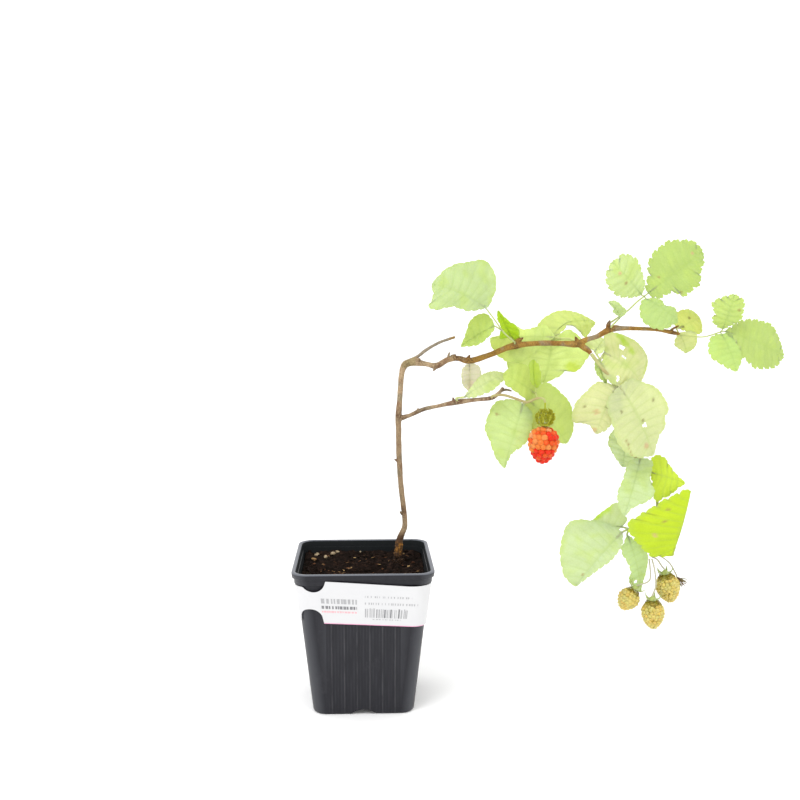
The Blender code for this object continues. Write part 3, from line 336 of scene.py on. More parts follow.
# The inner wall is painted darker, and given a weaker gloss, than the outside: painted shade inside the pot.
inside = Paint("black plastic inside", Roughness=0.6, Specular_IOR_Level=0.06)
inside_painted_shade = inside.coat(inside.blend(inside.noise(60, 6), (0.004, 0.006, 0.007), (0.014, 0.015, 0.016)))

pot_skin = ring_stack([pot_ring(*level) for level in pot_profile])
pot = new_piece("pot_body", *pot_skin, pot_plastic, inside_painted_shade)
SLOT_WIDTH, SLOT_HEIGHT, HOLE_PLACE, HOLE_RADIUS = 17.0, 3.2, 17.0, 4.0
slot_arch = (SLOT_WIDTH ** 2 / 4 + SLOT_HEIGHT ** 2) / (2 * SLOT_HEIGHT)
cutters = []
for x, y in ((1, 0), (0, 1), (-1, 0), (0, -1)):
    start, end = ((x * reach, y * reach, SLOT_HEIGHT - slot_arch)
                  for reach in (FOOT_WIDTH / 2 - 6, FOOT_WIDTH / 2 + 4))
    cutters.append(bar(start, end, slot_arch, 128))
for x in (-HOLE_PLACE, HOLE_PLACE):
    for y in (-HOLE_PLACE, HOLE_PLACE):
        cutters.append(bar((x, y, -1), (x, y, FLOOR_TOP + 1), HOLE_RADIUS, 28))
hollow = [pot_ring(body_half(0) - 3, CORNER - 3, z) for z in (-1, FLOOR_LOW)]
cutters.append(new_piece("hollow", *ring_stack(hollow)))
cut(pot, cutters)
edge_round = pot.modifiers.new("moulded edges", "BEVEL")
edge_round.width = 0.25 * MM
edge_round.segments = 2
edge_round.limit_method = "ANGLE"
edge_round.angle_limit = math.radians(50)
apply_modifiers(pot)
pot.data.shade_smooth()
pot.data.set_sharp_from_angle(angle=math.radians(50))
# The inner wall's faces, from the floor up to the lip, take the painted shade.
for face in pot.data.polygons:
    towards_middle = face.normal.x * face.center.x + face.normal.y * face.center.y < 0
    face.material_index = int(towards_middle and FLOOR_TOP < face.center.z / MM < LIP_FACE)
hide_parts("pot")
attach(pot, "root")


# The soil is dark peat potting mix, filled in by hand to about a centimetre under the rim: a lumpy bed with
# loose crumbs, bits of bark and straw-coloured fibre and a few pale grains lying on it.

SOIL_LEVEL, SOIL_CLEAR = 85.0, 0.3
dice = random.Random(7)


def soil_height(x, y):
    """Height of the soil's surface, in broad lumps that carry finer ones."""
    place = Vector((x, y, 3.0))
    broad = noise.noise(place * 0.09) + 0.6 * noise.noise(Vector((x, y, 9.0)) * 0.27)
    fine = noise.fractal(place * 0.55, 0.6, 2.2, 4)
    return SOIL_LEVEL + 2.2 * broad + 1.1 * fine + 0.06 * y


def square_reach(turn, half, corner):
    """The edge of a rounded square in one direction."""
    direction = Vector((math.cos(turn), math.sin(turn)))
    point = direction * half / max(abs(direction.x), abs(direction.y))
    inner = Vector((math.copysign(half - corner, point.x), math.copysign(half - corner, point.y)))
    if abs(point.x) > half - corner and abs(point.y) > half - corner:
        point = inner + (point - inner).normalized() * corner
    return point


around = 220
soil_low, soil_top = FLOOR_TOP + SOIL_CLEAR, body_half(SOIL_LEVEL) - WALL - SOIL_CLEAR
turns = [2 * math.pi * (k + 0.5) / around for k in range(around)]
foot_half = body_half(soil_low) - WALL - SOIL_CLEAR
bed_rings = [[(*square_reach(turn, foot_half, CORNER - 1), soil_low) for turn in turns]]
for inward in [1.0 - (k / 46) ** 0.9 for k in range(46)]:
    edge_points = [square_reach(turn, soil_top, CORNER - 1) * inward for turn in turns]
    bed_rings.append([(point.x, point.y, soil_height(point.x, point.y)) for point in edge_points])
earth = Paint("peat", Roughness=0.95, Specular_IOR_Level=0.04)
browns = earth.ramp(earth.noise(260, 8, 0.7), (0.38, (0.005, 0.004, 0.003)), (0.55, (0.015, 0.009, 0.007)),
                    (0.70, (0.048, 0.026, 0.017)))
peat = earth.coat(browns, Normal=earth.bump(earth.noise(900, 4, 0.7), 0.9, 0.0008))
bed = new_piece("peat_bed", *ring_stack(bed_rings), peat, sharp=75)
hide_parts("soil")
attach(bed, "root")


def icosphere(subdivisions):
    """The points and faces of a ball of radius 1."""
    work = bmesh.new()
    bmesh.ops.create_icosphere(work, subdivisions=subdivisions, radius=1.0)
    work.verts.ensure_lookup_table()
    points = [vertex.co.copy() for vertex in work.verts]
    faces = [tuple(vertex.index for vertex in face.verts) for face in work.faces]
    work.free()
    return points, faces


BALL_POINTS, BALL_FACES = icosphere(2)


def crumb(points, faces, middle, size):
    """Adds a rough lump of a given (x, y, z) size to a mesh in the making."""
    first = len(points)
    seed = Vector([dice.uniform(-50, 50) for _ in range(3)])
    spin = dice.uniform(0, math.pi)
    for point in BALL_POINTS:
        rough = point * (1 + 0.5 * noise.noise(point * 1.7 + seed))
        x, y = spun(rough.x * size[0], rough.y * size[1], spin)
        points.append((middle.x + x, middle.y + y, middle.z + rough.z * size[2]))
    faces += [tuple(first + corner for corner in face) for face in BALL_FACES]


def on_soil(x, y, lift=0.0):
    return Vector((x, y, soil_height(x, y) + lift))


def strewn(name, material, lumps):
    """A piece of loose lumps that lie on the soil, from the middle and size of each."""
    points, faces = [], []
    for middle, size in lumps:
        crumb(points, faces, middle, size)
    made = new_piece(name, points, faces, material, sharp=60)
    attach(made, "root")


def peat_lumps():
    reach = soil_top - 2.5
    for _ in range(420):
        middle = on_soil(dice.uniform(-reach, reach), dice.uniform(-reach, reach), dice.uniform(-0.3, 0.4))
        big = dice.choice((0.5, 0.7, 0.9, 1.2, 1.7))
        yield middle, (big, big * dice.uniform(0.6, 1.0), big * dice.uniform(0.5, 0.8))


def bark_and_straw():
    """Chips of bark at their places, then straws that are strewn at random."""
    for x, y, size in ((-34, 22, 1.9), (-33, 12, 1.6), (-27, 12, 1.5), (-10, 2, 1.6), (-8, 4, 1.3),
                       (4, -8, 1.4), (9, -16, 1.6), (-35, -22, 1.4), (-30, -24, 1.2), (31, 8, 1.8),
                       (34, 14, 1.4), (13, 5, 1.2), (36, -6, 1.0), (-3, -24, 1.1), (19, -20, 1.2)):
        yield on_soil(x, y, 0.5), (size, size * 0.55, size * 0.5)
    reach = soil_top - 5
    for _ in range(60):
        middle = on_soil(dice.uniform(-reach, reach), dice.uniform(-reach, reach), 0.5)
        yield middle, (dice.uniform(0.6, 2.8), dice.uniform(0.18, 0.4), dice.uniform(0.15, 0.35))


GRAINS = ((-32, 37, 1.6), (-33, 32, 1.4), (-26, 30, 1.7), (-21, 33, 1.9), (-18, 34, 1.4), (-15.5, -26, 1.3),
          (4.5, -18, 1.3), (12, -20, 1.4), (27.5, -11, 1.1), (-2, 34, 0.7), (17, -8, 0.6), (33, -16, 0.5))
strewn("peat_crumbs", peat, peat_lumps())
straw = Paint("straw and bark bits", Roughness=0.8, Specular_IOR_Level=0.1)
browns = straw.ramp(straw.noise(170, 3), (0.35, (0.05, 0.02, 0.010)), (0.5, (0.12, 0.05, 0.022)),
                    (0.68, (0.40, 0.27, 0.12)))
strewn("bark_and_straw_bits", straw.coat(browns), bark_and_straw())
chalk = Paint("pale grains", Roughness=0.7)
chalk_colour = chalk.blend(chalk.noise(300, 4), (0.14, 0.085, 0.04), (0.46, 0.37, 0.23))
strewn("pale_grains", chalk.coat(chalk_colour),
       ((on_soil(x, y, 0.8), (size, size * 0.8, size * 0.7)) for x, y, size in GRAINS))


# The label is a strip of white coated paper wound once round the pot. It is tucked under the collar at the
# right and lapped over it at the left, with two half-round notches there and a pink edge along its foot.

LABEL_PAPER, LABEL_FOOT, LABEL_MIDDLE, LABEL_SLOPE, ROUND_END = 0.45, 61.5, 75.0, 0.05, 6.0
LABEL_ENDS, UPPER_NOTCH, LOWER_NOTCH, NOTCH = (-124.0, 118.0), (-30.0, 91.0), (-33.0, 65.0), 7.4


def smooth_step(value, start, end):
    share = min(max((value - start) / (end - start), 0.0), 1.0)
    return share * share * (3 - 2 * share)


def label_edges(along):
    """The lower and upper edge of the strip, at a distance along the wall from the middle of the front."""
    tucked, proud = 86.8, 90.7
    top = max(tucked, proud + (tucked - proud) * (along + 22) / 50) if along > -26 else tucked
    foot = LABEL_FOOT - LABEL_SLOPE * min(max(along, -40), 40)
    reach = abs(along - UPPER_NOTCH[0])
    if reach < NOTCH:
        top = min(top, UPPER_NOTCH[1] - math.sqrt(NOTCH ** 2 - reach ** 2))
    reach = abs(along - LOWER_NOTCH[0])
    if reach < NOTCH:
        foot = max(foot, LOWER_NOTCH[1] + math.sqrt(NOTCH ** 2 - reach ** 2))
    to_end = min(along - LABEL_ENDS[0], LABEL_ENDS[1] - along)
    if to_end < ROUND_END:
        inset = ROUND_END - math.sqrt(ROUND_END ** 2 - (ROUND_END - to_end) ** 2)
        foot, top = foot + inset, top - inset
    return foot, top


def wall_point(along, z, off):
    """A point off the pot's wall, at a distance along the wall from the middle of the front."""
    straight = 2 * (body_half(LABEL_MIDDLE) - CORNER)
    arc = CORNER * math.pi / 2
    quarter = math.floor((along + straight / 2) / (straight + arc))
    rest = along + straight / 2 - quarter * (straight + arc)
    inner = body_half(z) - CORNER
    if rest <= straight:
        x, y = (rest / straight * 2 - 1) * inner, -inner - CORNER - off
    else:
        angle = -math.pi / 2 + (rest - straight) / arc * math.pi / 2
        x, y = inner + (CORNER + off) * math.cos(angle), -inner + (CORNER + off) * math.sin(angle)
    return (*spun(x, y, quarter * math.pi / 2), z)


def label_off(along, z):
    """How far the back of the paper stands off the wall, with its lap over the collar and a slight wave."""
    lap = 1.0 * smooth_step(along, -36, -26) * (1 - smooth_step(along, 30, 38))
    wave = 0.12 * noise.noise(Vector((along * 0.06, z * 0.08, 4.0)))
    return 0.7 + lap * max(0.0, z - LABEL_FOOT) / 27 + max(0.0, wave)


def label_strip(start, end, step, edges, off, thick):
    """A closed strip over part of the label. Edges gives its foot and top at each place along the wall."""
    count = max(2, round((end - start) / step))
    rows = 8
    rings = []
    for k in range(count + 1):
        along = start + (end - start) * k / count
        foot, top = edges(along)
        rises = [foot + (top - foot) * n / rows for n in range(rows + 1)]
        back = [wall_point(along, z, label_off(along, z) + off) for z in rises]
        front = [wall_point(along, z, label_off(along, z) + off + thick) for z in reversed(rises)]
        rings.append(back + front)
    return ring_stack(rings)


paper = Paint("coated paper", Roughness=0.45, Coat_Weight=0.15)
white = paper.blend(paper.noise(30, 3), (0.585, 0.585, 0.60), (0.635, 0.635, 0.635))
label_paper = paper.coat(white, Normal=paper.bump(paper.noise(700, 5), 0.12, 0.0001))
label_skin = label_strip(*LABEL_ENDS, 0.8, label_edges, 0.0, LABEL_PAPER)
label = new_piece("paper_label", *label_skin, label_paper)
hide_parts("pot_label")
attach(label, "root")


# The label's print is thin ink that lies on the paper: the pink edge, rows of plain dashes in grey, dark and
# red, and a field of upright bars.


def ink(name, colour):
    made = Paint(name, Roughness=0.5)
    worn = tuple(1 - (1 - part) * 0.75 for part in colour)
    return made.coat(made.blend(made.noise(1200, 2), colour, worn))


def print_marks(name, paint, marks):
    """Marks printed in one ink, each from a start to an end and between two heights over the label's foot."""
    points, faces = [], []
    for start, end, *rises in marks:
        def edges(along):
            return [LABEL_FOOT - LABEL_SLOPE * along + rise for rise in rises]

        more, loops = label_strip(start, end, 2.0, edges, LABEL_PAPER + 0.02, 0.06)
        faces += [tuple(len(points) + corner for corner in loop) for loop in loops]
        points += more
    printed = new_piece(name, points, faces, paint)
    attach(printed, "root")


def dashes(start, end, low, high, longest, gap):
    """A row of plain dashes of uneven length, as print looks from afar."""
    row, at = [], start
    while at < end:
        stop = min(end, at + dice.uniform(0.4, 1.0) * longest)
        row.append((at, stop, low, high))
        at = stop + gap * dice.uniform(0.4, 2.0)
    return row


bars, at = [], 1.0
while at < 28:
    wide = dice.choice((0.3, 0.3, 0.6, 0.9))
    bars.append((at, at + wide, 5.2, dice.choice((10.8, 11.0, 11.4))))
    at += wide + dice.choice((0.45, 0.7, 1.1))
print_marks("pink_edge", ink("pink ink", (0.72, 0.20, 0.42)), [(-25.4, 39.5, 0.05, 0.42)])
print_marks("red_rule", ink("red ink", (0.72, 0.30, 0.34)), dashes(-26, -4, 7.6, 8.6, 1.8, 0.45))
grey_rows = [(-26, -4, 13.6, 16.8, 2.2, 0.7), (1, 34, 13.8, 15.2, 0.7, 0.9), (1, 30, 18.4, 19.6, 0.7, 1.1),
             (6, 24, 3.8, 4.3, 1.2, 0.7)]
grey_dashes = [mark for row in grey_rows for mark in dashes(*row)]
print_marks("grey_marks", ink("grey ink", (0.27, 0.27, 0.28)), grey_dashes + bars[::2])
dark_dashes = dashes(-26, -4, 10.0, 12.0, 1.8, 0.6)
print_marks("dark_marks", ink("dark ink", (0.07, 0.07, 0.08)), dark_dashes + bars[1::2])


# The cane is one grown piece of wood: a knobby old crown in the soil, last year's upright stem cut back to a
# dead stub at its bend, and the long side branch and the short lower branch that broke from it. Its bark is
# thin and brown, greyer on the dead wood, with a swollen knot and a bud at every leaf.

CANE = [(23, 14, 47, 3.0), (23, 14, 72, 3.1), (23, 14, 85, 2.8), (24, 15, 94, 2.5), (24.5, 15.5, 101, 2.3),
        (26.4, 16, 106, 2.0), (28.3, 17, 111, 1.85), (28, 17, 119, 1.75), (25.7, 16, 139, 1.8),
        (24.3, 14, 160, 1.85), (23.9, 12.5, 178, 1.85), (23.9, 12, 187, 2.15), (24.6, 11.5, 197, 1.85),
        (25.6, 11, 212, 1.85), (26.8, 11, 218.4, 2.1), (29.2, 11, 221.8, 2.5), (34, 11, 222.6, 2.5),
        (42, 10, 221.5, 1.7), (49, 9, 220.4, 2.0), (56, 8, 224.3, 1.9), (63, 7, 225.4, 1.75),
        (71, 6, 223.8, 2.0), (84, 4, 228, 1.8), (92, 3, 231.4, 1.8), (99.8, 2, 234, 2.3),
        (108, 1, 235, 1.75), (119, 0, 235.7, 1.75), (130, -1, 235.4, 1.75), (140, -2, 235.2, 2.4),
        (146, -2, 238, 1.7), (153, -2, 240.2, 1.6), (162, -1, 244.8, 2.2), (170, 0, 245.2, 1.5),
        (182, 2, 244.9, 1.3), (194, 4, 244.2, 1.2), (205, 6, 242.2, 1.4), (210, 7, 241.2, 0.9)]
NODE_WITHERED, NODE_CANE_SIDE, NODE_BEHIND, NODE_TOP, NODE_TIP = 21, 24, 28, 31, 35
CROWN_TOP = 112.0
DEAD_STUB = [(29, 11.5, 222.6, 1.4), (36, 12.5, 226, 1.15), (43, 14, 231, 1.1), (51.5, 15, 235.6, 1.0),
             (61.8, 17, 239, 0.9)]
LOWER_BRANCH = [(23.4, 12, 183.8, 1.3), (27.5, 11, 186, 1.6), (31.5, 9, 187.6, 1.35), (40, 5, 191.9, 1.4),
                (50.7, 1, 194.8, 1.25), (62, -2, 197.4, 1.8), (73, -4, 199, 1.25), (83.5, -5, 200.3, 1.4),
                (88.6, -5, 203.6, 1.2), (91.5, -4, 207, 1.0)]
LOWER_NODE = 5
TWIGS = [[(89.5, -4.8, 204.6, 0.9), (93.4, -2.6, 205.4, 0.8), (97.4, -1, 204.4, 0.6)],
         [(140.5, -2, 235.3, 1.9), (144, -4, 232.8, 1.9), (146.6, -5.6, 231, 1.7), (148, -6, 229.2, 1.5)],
         [(203, 6, 243, 0.8), (206, 5, 245.4, 0.7), (208.6, 4, 246.8, 0.5)],
         [(56, 8, 224.5, 0.9), (56.6, 6.5, 227.4, 0.8), (57.2, 5.5, 229.4, 0.6)]]
BUDS = [((24.5, 15.6, 155), (20.8, 15.0, 157.5), 1.0), ((35, 10, 223.5), (38.5, 8.6, 225), 1.5),
        ((48.6, 9, 219.5), (46.6, 8, 216.8), 1.0), ((58, 7.5, 225.5), (61.5, 5.8, 228), 1.4),
        ((69, 6, 224.5), (70.5, 4, 228), 1.3), ((100, 2, 236), (105, -0.5, 239.3), 1.5),
        ((140, -2, 237), (138, -3.6, 240), 1.3), ((160, -1, 246.5), (160.8, -3, 250.6), 1.5),
        ((163, -1, 245.5), (165.5, 1, 243), 1.2), ((36.5, 7, 191.5), (35.4, 6, 188.6), 0.9),
        ((59.5, -1.8, 198), (58.6, -3.6, 200.8), 1.0), ((26.5, 16.5, 119), (24.7, 15.2, 121.5), 0.9)]
CROWN_KNOTS = [((23, 13, 90), (21.4, 11.8, 94.0), 1.6), ((25, 15, 96), (26.8, 13.2, 99.0), 1.2),
               ((22.5, 15, 86), (20.6, 17.5, 89.5), 1.6), ((25.5, 13.5, 87), (27.2, 12.0, 89.5), 1.4)]


def smooth_route(points, steps):
    """Points on a Catmull-Rom curve through the given ones, with steps on each stretch."""
    ends = [points[0] * 2 - points[1]] + list(points) + [points[-1] * 2 - points[-2]]
    route = []
    for a, b, c, d in zip(ends, ends[1:], ends[2:], ends[3:]):
        for k in range(steps):
            t = k / steps
            route.append((b * 2 + (c - a) * t + (a * 2 - b * 5 + c * 4 - d) * t * t
                          + (b * 3 - a - c * 3 + d) * t * t * t) / 2)
    route.append(points[-1].copy())
    return route


class Growth:
    """A piece in the making: its points and faces, with a tint and a mark (veins, and drupelet tips for their
    painted highlight) at each point.
    """

    def __init__(self):
        self.points, self.faces, self.tints, self.marks = [], [], [], []

    def add(self, points, faces, tint, marks=0.0):
        first = len(self.points)
        self.points += points
        self.faces += [tuple(first + corner for corner in face) for face in faces]
        self.tints += tint if isinstance(tint, list) else [tint] * len(points)
        self.marks += marks if isinstance(marks, list) else [marks] * len(points)

    def stem(self, stops, sides, tint, steps=6, gnarl=0.0):
        """A tube along (x, y, z, radius) stops. Gnarl roughens it into long ridges, as bark has."""
        route = smooth_route([Vector(stop) for stop in stops], steps)
        middles = [stop.to_3d() for stop in route]
        side, reach, rings = None, 0.0, []
        for k, (middle, stop) in enumerate(zip(middles, route)):
            along = (middles[min(k + 1, len(route) - 1)] - middles[max(k - 1, 0)]).normalized()
            side = along.orthogonal() if side is None else side
            side = (side - along * side.dot(along)).normalized()
            across = along.cross(side)
            reach += (middle - middles[max(k - 1, 0)]).length
            ring = []
            for n in range(sides):
                turn = 2 * math.pi * n / sides
                ridge = Vector((2.2 * math.cos(turn), 2.2 * math.sin(turn), reach * 0.16))
                rough = 1 + gnarl * noise.noise(ridge) if gnarl else 1
                ring.append(middle + spoke(side, across, turn) * stop[3] * rough)
            rings.append(ring)
        self.add(*ring_stack(rings), tint)

    def piece(self, name, *materials, sharp=50):
        made = new_piece(name, self.points, self.faces, *materials, sharp=sharp)
        paint(made, self.tints, self.marks)
        return made


def paint(piece, tints, marks):
    """Stores a tint and a mark at each point of a piece, for its material to read."""
    colours = piece.data.attributes.new("tint", "FLOAT_COLOR", "POINT")
    colours.data.foreach_set("color", [part for tint in tints for part in (*tint, 1.0)])
    piece.data.attributes.new("mark", "FLOAT", "POINT").data.foreach_set("value", marks)


def mix(first, second, share):
    return tuple(a + (b - a) * share for a, b in zip(first, second))


def bud(base, tip, radius):
    """The (x, y, z, radius) stops of a pointed bud or a knot."""
    shape = ((-0.3, 0.6), (0.0, 0.9), (0.4, 1.0), (0.8, 0.55), (1.0, 0.2))
    return [(*Vector(base).lerp(Vector(tip), along), radius * wide) for along, wide in shape]


BARK_TAN, BARK_RED, BARK_GREY = seen(196, 152, 72), seen(164, 116, 54), seen(176, 162, 132)
OLD_TAN, OLD_RED = seen(210, 182, 144), seen(162, 126, 96)
BARK_DARK, BARK_GOLD, BARK_OLIVE = seen(104, 76, 54), seen(190, 132, 56), seen(178, 162, 112)
DEAD_GREY, CROWN_FOOT_DARK = seen(182, 168, 146), seen(40, 28, 22)
knots = [Vector(CANE[n][:3]) for n in (11, 15, 18, 20, 21, 24, 28, 31, 35)]
knots += [Vector(LOWER_BRANCH[n][:3]) for n in (1, 3, 5, 7, 9)] + [Vector(tip) for _, tip, _ in BUDS]


def bark_tint(point):
    """The bark's colour by place: gold on the crown, grey on old and dead wood, darker round the knots."""
    broad = noise.noise(point * 0.11) + 0.5 * noise.noise(point * 0.37)
    fine = noise.noise(point * 1.3)
    old = max(1 - smooth_step(point.x, 50, 75), 1 - smooth_step(point.z, 208, 214))
    red = smooth_step(broad + 0.3 * fine, -0.1, 0.7)
    tint = mix(mix(BARK_TAN, OLD_TAN, old), mix(BARK_RED, OLD_RED, old), red)
    tint = mix(tint, BARK_GREY, smooth_step(noise.noise(point * 0.16 + Vector((9, 4, 2))), 0.1, 0.5) * 0.8)
    on_stub = point.z > 224 and 34 < point.x < 64 and point.y > 11.4
    if on_stub:
        tint = mix(DEAD_GREY, BARK_TAN, smooth_step(point.x, 56, 60) * 0.8)
    near = min((point - knot).length for knot in knots)
    tint = mix(tint, BARK_DARK, 0.9 * (1 - smooth_step(near, 1.4, 4.6)) * smooth_step(fine, -0.45, 0.3))
    tint = mix(tint, BARK_DARK, 0.3 * (1 - smooth_step(point.z, 182, 204)))
    if point.z < CROWN_TOP:
        ridge = noise.noise(Vector((point.x * 0.9, point.y * 0.9, point.z * 0.22)))
        crown = mix(BARK_GOLD, BARK_DARK, smooth_step(ridge, -0.25, 0.15))
        crown = mix(crown, BARK_DARK, smooth_step(point.z, 98, 102))
        tint = mix(crown, tint, smooth_step(point.z, 103, 109))
        # The crown is darker towards the bottom, down to where it meets the soil.
        tint = mix(mix(CROWN_FOOT_DARK, BARK_DARK, smooth_step(fine, 0, 0.4)), tint, smooth_step(point.z, 90, 97))
    at_bend = 26 < point.x < 35 and point.z > 219
    if at_bend:
        tint = mix(tint, BARK_OLIVE, 0.6)
    return mix(tint, BARK_DARK, 0.5 * smooth_step(noise.noise(point * 2.3), 0.05, 0.5))


wood = Growth()
for branch, sides in ((CANE, 20), (DEAD_STUB, 12), (LOWER_BRANCH, 14), *((twig, 10) for twig in TWIGS)):
    wood.stem(branch, sides, BARK_TAN, steps=9, gnarl=0.16)
for knot in BUDS + CROWN_KNOTS:
    wood.stem(bud(*knot), 10, BARK_TAN, steps=4, gnarl=0.2)
woody = Paint("bark", Roughness=0.72, Specular_IOR_Level=0.15)
flecks = woody.noise(1500, 5, 0.7)
pitted = woody.bump(woody.cells(700), 0.35, 0.0002, Normal=woody.bump(flecks, 0.6, 0.0003))
bark = woody.coat(woody.tinted(woody.ranged(flecks, 0.3, 0.7, 0.62, 1.42)), Normal=pitted)
cane = new_piece("cane_wood", wood.points, wood.faces, bark)
grown = cane.modifiers.new("grown together", "REMESH")
grown.mode = "VOXEL"
grown.voxel_size = 0.34 * MM
apply_modifiers(cane)
relax = cane.modifiers.new("relaxed", "SMOOTH")
relax.factor = 0.5
relax.iterations = 2
apply_modifiers(cane)
bark_places = [vertex.co / MM for vertex in cane.data.vertices]
outward = [vertex.normal.copy() for vertex in cane.data.vertices]
roughened = []
for point, out in zip(bark_places, outward):
    rough = 0.10 + 0.4 * (1 - smooth_step(point.z, 98, 108))
    roughened.extend((point + out * rough * noise.fractal(point, 0.7, 2.1, 3)) * MM)
cane.data.vertices.foreach_set("co", roughened)
paint(cane, [bark_tint(point) for point in bark_places], [0.0] * len(bark_places))
cane.data.shade_smooth()
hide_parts("cane")
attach(cane, "root")


# The two green laterals are this year's soft shoots: the long one hangs from a knot of the branch down to the
# green berries, and the short one leaves the lower branch for the ripe berry. Both are downy.

FRUITING_LATERAL = [(148.3, -6.1, 228.8, 1.25), (155, -6.6, 220, 1.1), (164, -4, 209.5, 1.2),
                    (171, 0, 192, 1.05), (177, 3, 170.6, 1.15), (183, 4, 157, 1.1), (190, 4.6, 146, 1.0),
                    (197, 4.4, 131, 0.95), (197, 3, 112, 1.05), (194, 1, 98, 0.95), (192.6, 0.4, 93, 1.1)]
LATERAL_TOP, LATERAL_YELLOW, LATERAL_GREEN, LATERAL_MIDDLE, LATERAL_VIVID, LATERAL_LOW = 1, 2, 4, 5, 6, 8
LATERAL_END = 9
BERRY_LATERAL = [(83.2, -7.3, 201, 0.8), (85, -8.6, 202.2, 0.8), (91, -9.5, 202.6, 0.85),
                 (99, -9.4, 200.2, 0.8), (106, -9.4, 198, 0.95), (112, -11, 200.4, 0.8),
                 (116, -13.2, 200.6, 0.7), (117.2, -14, 198.2, 0.7)]
SHOOT_TWO_LEAVES, SHOOT_FOLDED = 4, 5
SHOOT_GREEN, SHOOT_TAN = seen(222, 226, 150), seen(206, 182, 124)


def hairs(growth, stops, per_mm, length, thick, tint):
    """Fine straight hairs standing off a stem."""
    route = smooth_route([Vector(stop) for stop in stops], 6)
    for a, b in zip(route, route[1:]):
        along = (b - a).to_3d()
        for _ in range(round(along.length * per_mm + dice.random())):
            spot = a.lerp(b, dice.random())
            out = along.orthogonal().normalized()
            out.rotate(Matrix.Rotation(dice.uniform(0, 2 * math.pi), 3, along))
            root = spot.to_3d() + out * spot[3] * 0.8
            tip = spot.to_3d() + out * (spot[3] + length * dice.uniform(0.5, 1)) + along.normalized() * 0.3
            growth.stem([(*root, thick), (*tip, thick * 0.3)], 3, tint, steps=1)


soft = Paint("green shoot", Roughness=0.5, Specular_IOR_Level=0.2)
streaks = soft.noise(500, 4)
soft_green = soft.coat(soft.tinted(soft.ranged(streaks, 0.0, 1.0, 0.82, 1.18)),
                       Normal=soft.bump(streaks, 0.3, 0.0002))
for node, stops, tan in (("fruiting_lateral", FRUITING_LATERAL, 0.25), ("berry_lateral", BERRY_LATERAL, 0.6)):
    shoot = Growth()
    shoot.stem(stops, 12, SHOOT_GREEN, steps=10, gnarl=0.08)
    shoot.tints = [mix(SHOOT_GREEN, SHOOT_TAN, min(1, max(0, tan + noise.noise(Vector(point) * 0.15))))
                   for point in shoot.points]
    hairs(shoot, stops, 2.0, 1.0, 0.05, seen(232, 232, 190))
    shoot_piece = shoot.piece(node + "_shoot", soft_green)
    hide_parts(node)
    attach(shoot_piece, "root")


# The leaves are compound, of one to three soft leaflets on a stalk that grows from a knot. Each leaflet is
# thin and quilted between its veins, with a rounded double row of teeth, a raised midrib and ribs beneath,
# and a paler underside. The young ones are vivid yellow-green, the old ones pale, and one has withered.

PALE_UNDERSIDE, VEIN_GREEN = seen(226, 236, 200), seen(186, 220, 104)
SPOT_BROWN, SPOT_PINK, SPOT_DARK = seen(160, 124, 84), seen(228, 180, 146), seen(112, 96, 56)
PALE, FRESH, YELLOW = seen(196, 226, 140), seen(198, 228, 120), seen(228, 239, 178)
VIVID, DEEP = seen(208, 240, 44), seen(180, 226, 30)


class Leaflet:
    """One leaflet. It runs from a base to a tip, faces one way and is lifted by its arch in the middle.

    Its halves fold forward by some degrees, the right one by those of back if given. Left and right give the
    outline of each as "along,out along,out ..." from base to tip, and teeth and bite what is cut into it. The
    stalk passes through via, and the midrib bends aside by bow. Spots are withered or shaded patches (along,
    out, radius, tint), holes are (along, out, radius), and a fresh one is mottled with the fresh tint.
    """

    def __init__(self, base, tip, face, arch, fold, teeth, tint, left, right, via=(), spots=(), holes=(),
                 bite=0.55, bow=0.0, back=None, fresh=True):
        self.base = Vector(base)
        self.length = (Vector(tip) - self.base).length
        self.along = (Vector(tip) - self.base).normalized()
        front = Vector(face)
        self.front = (front - self.along * front.dot(self.along)).normalized()
        self.side = self.front.cross(self.along)
        self.arch, self.teeth, self.bite, self.bow = arch, teeth, bite, bow
        self.tint, self.other_tint = tint, FRESH if fresh else tint
        self.halves = ((1, left, fold), (-1, right, fold if back is None else back))
        self.via, self.spots, self.holes = via, spots, holes

    def point(self, along, out=0.0, angle=0.0):
        share = min(max(along / self.length, 0.0), 1.0)
        turn = math.radians(angle)
        lift = self.arch * 4 * share * (1 - share) + abs(out) * math.sin(turn)
        return self.base + self.along * along + self.side * out * math.cos(turn) + self.front * lift


def tooth(share):
    """The outline of one rounded tooth that leans to the leaf's tip, 0 at both ends and 1 at its crest."""
    crest = 0.62
    if share < crest:
        return math.sin(math.pi / 2 * share / crest)
    return math.cos(math.pi / 2 * (share - crest) / (1 - crest))


def leaf_edge(outline, length, teeth, count, bite):
    """The edge of half a leaflet from base to tip: big teeth, each with a small one on its back."""
    points = [Vector([float(part) for part in pair.split(",")]) for pair in outline.split()]
    fine = smooth_route([Vector((0, 0)), *points, Vector((length, 0))], 14)
    reach = [0.0]
    for a, b in zip(fine, fine[1:]):
        reach.append(reach[-1] + (b - a).length)
    depth = bite * (1.0 + length * 0.014)
    edge, n = [], 0
    for k in range(count + 1):
        goal = reach[-1] * k / count
        while n < len(fine) - 2 and reach[n + 1] < goal:
            n += 1
        point = fine[n].lerp(fine[n + 1], min(1, (goal - reach[n]) / (reach[n + 1] - reach[n])))
        along = (fine[n + 1] - fine[n]).normalized()
        out = Vector((-along.y, along.x))
        stage = k / count * teeth
        relief = 0.62 * tooth(stage % 1) + 0.34 * tooth(stage * 2 % 1) - 0.38
        cut_in = depth * relief * min(1, 12 * k / count)
        edge.append(point + (out * cut_in + along * cut_in * 0.45) * (0 < k < count))
    return edge


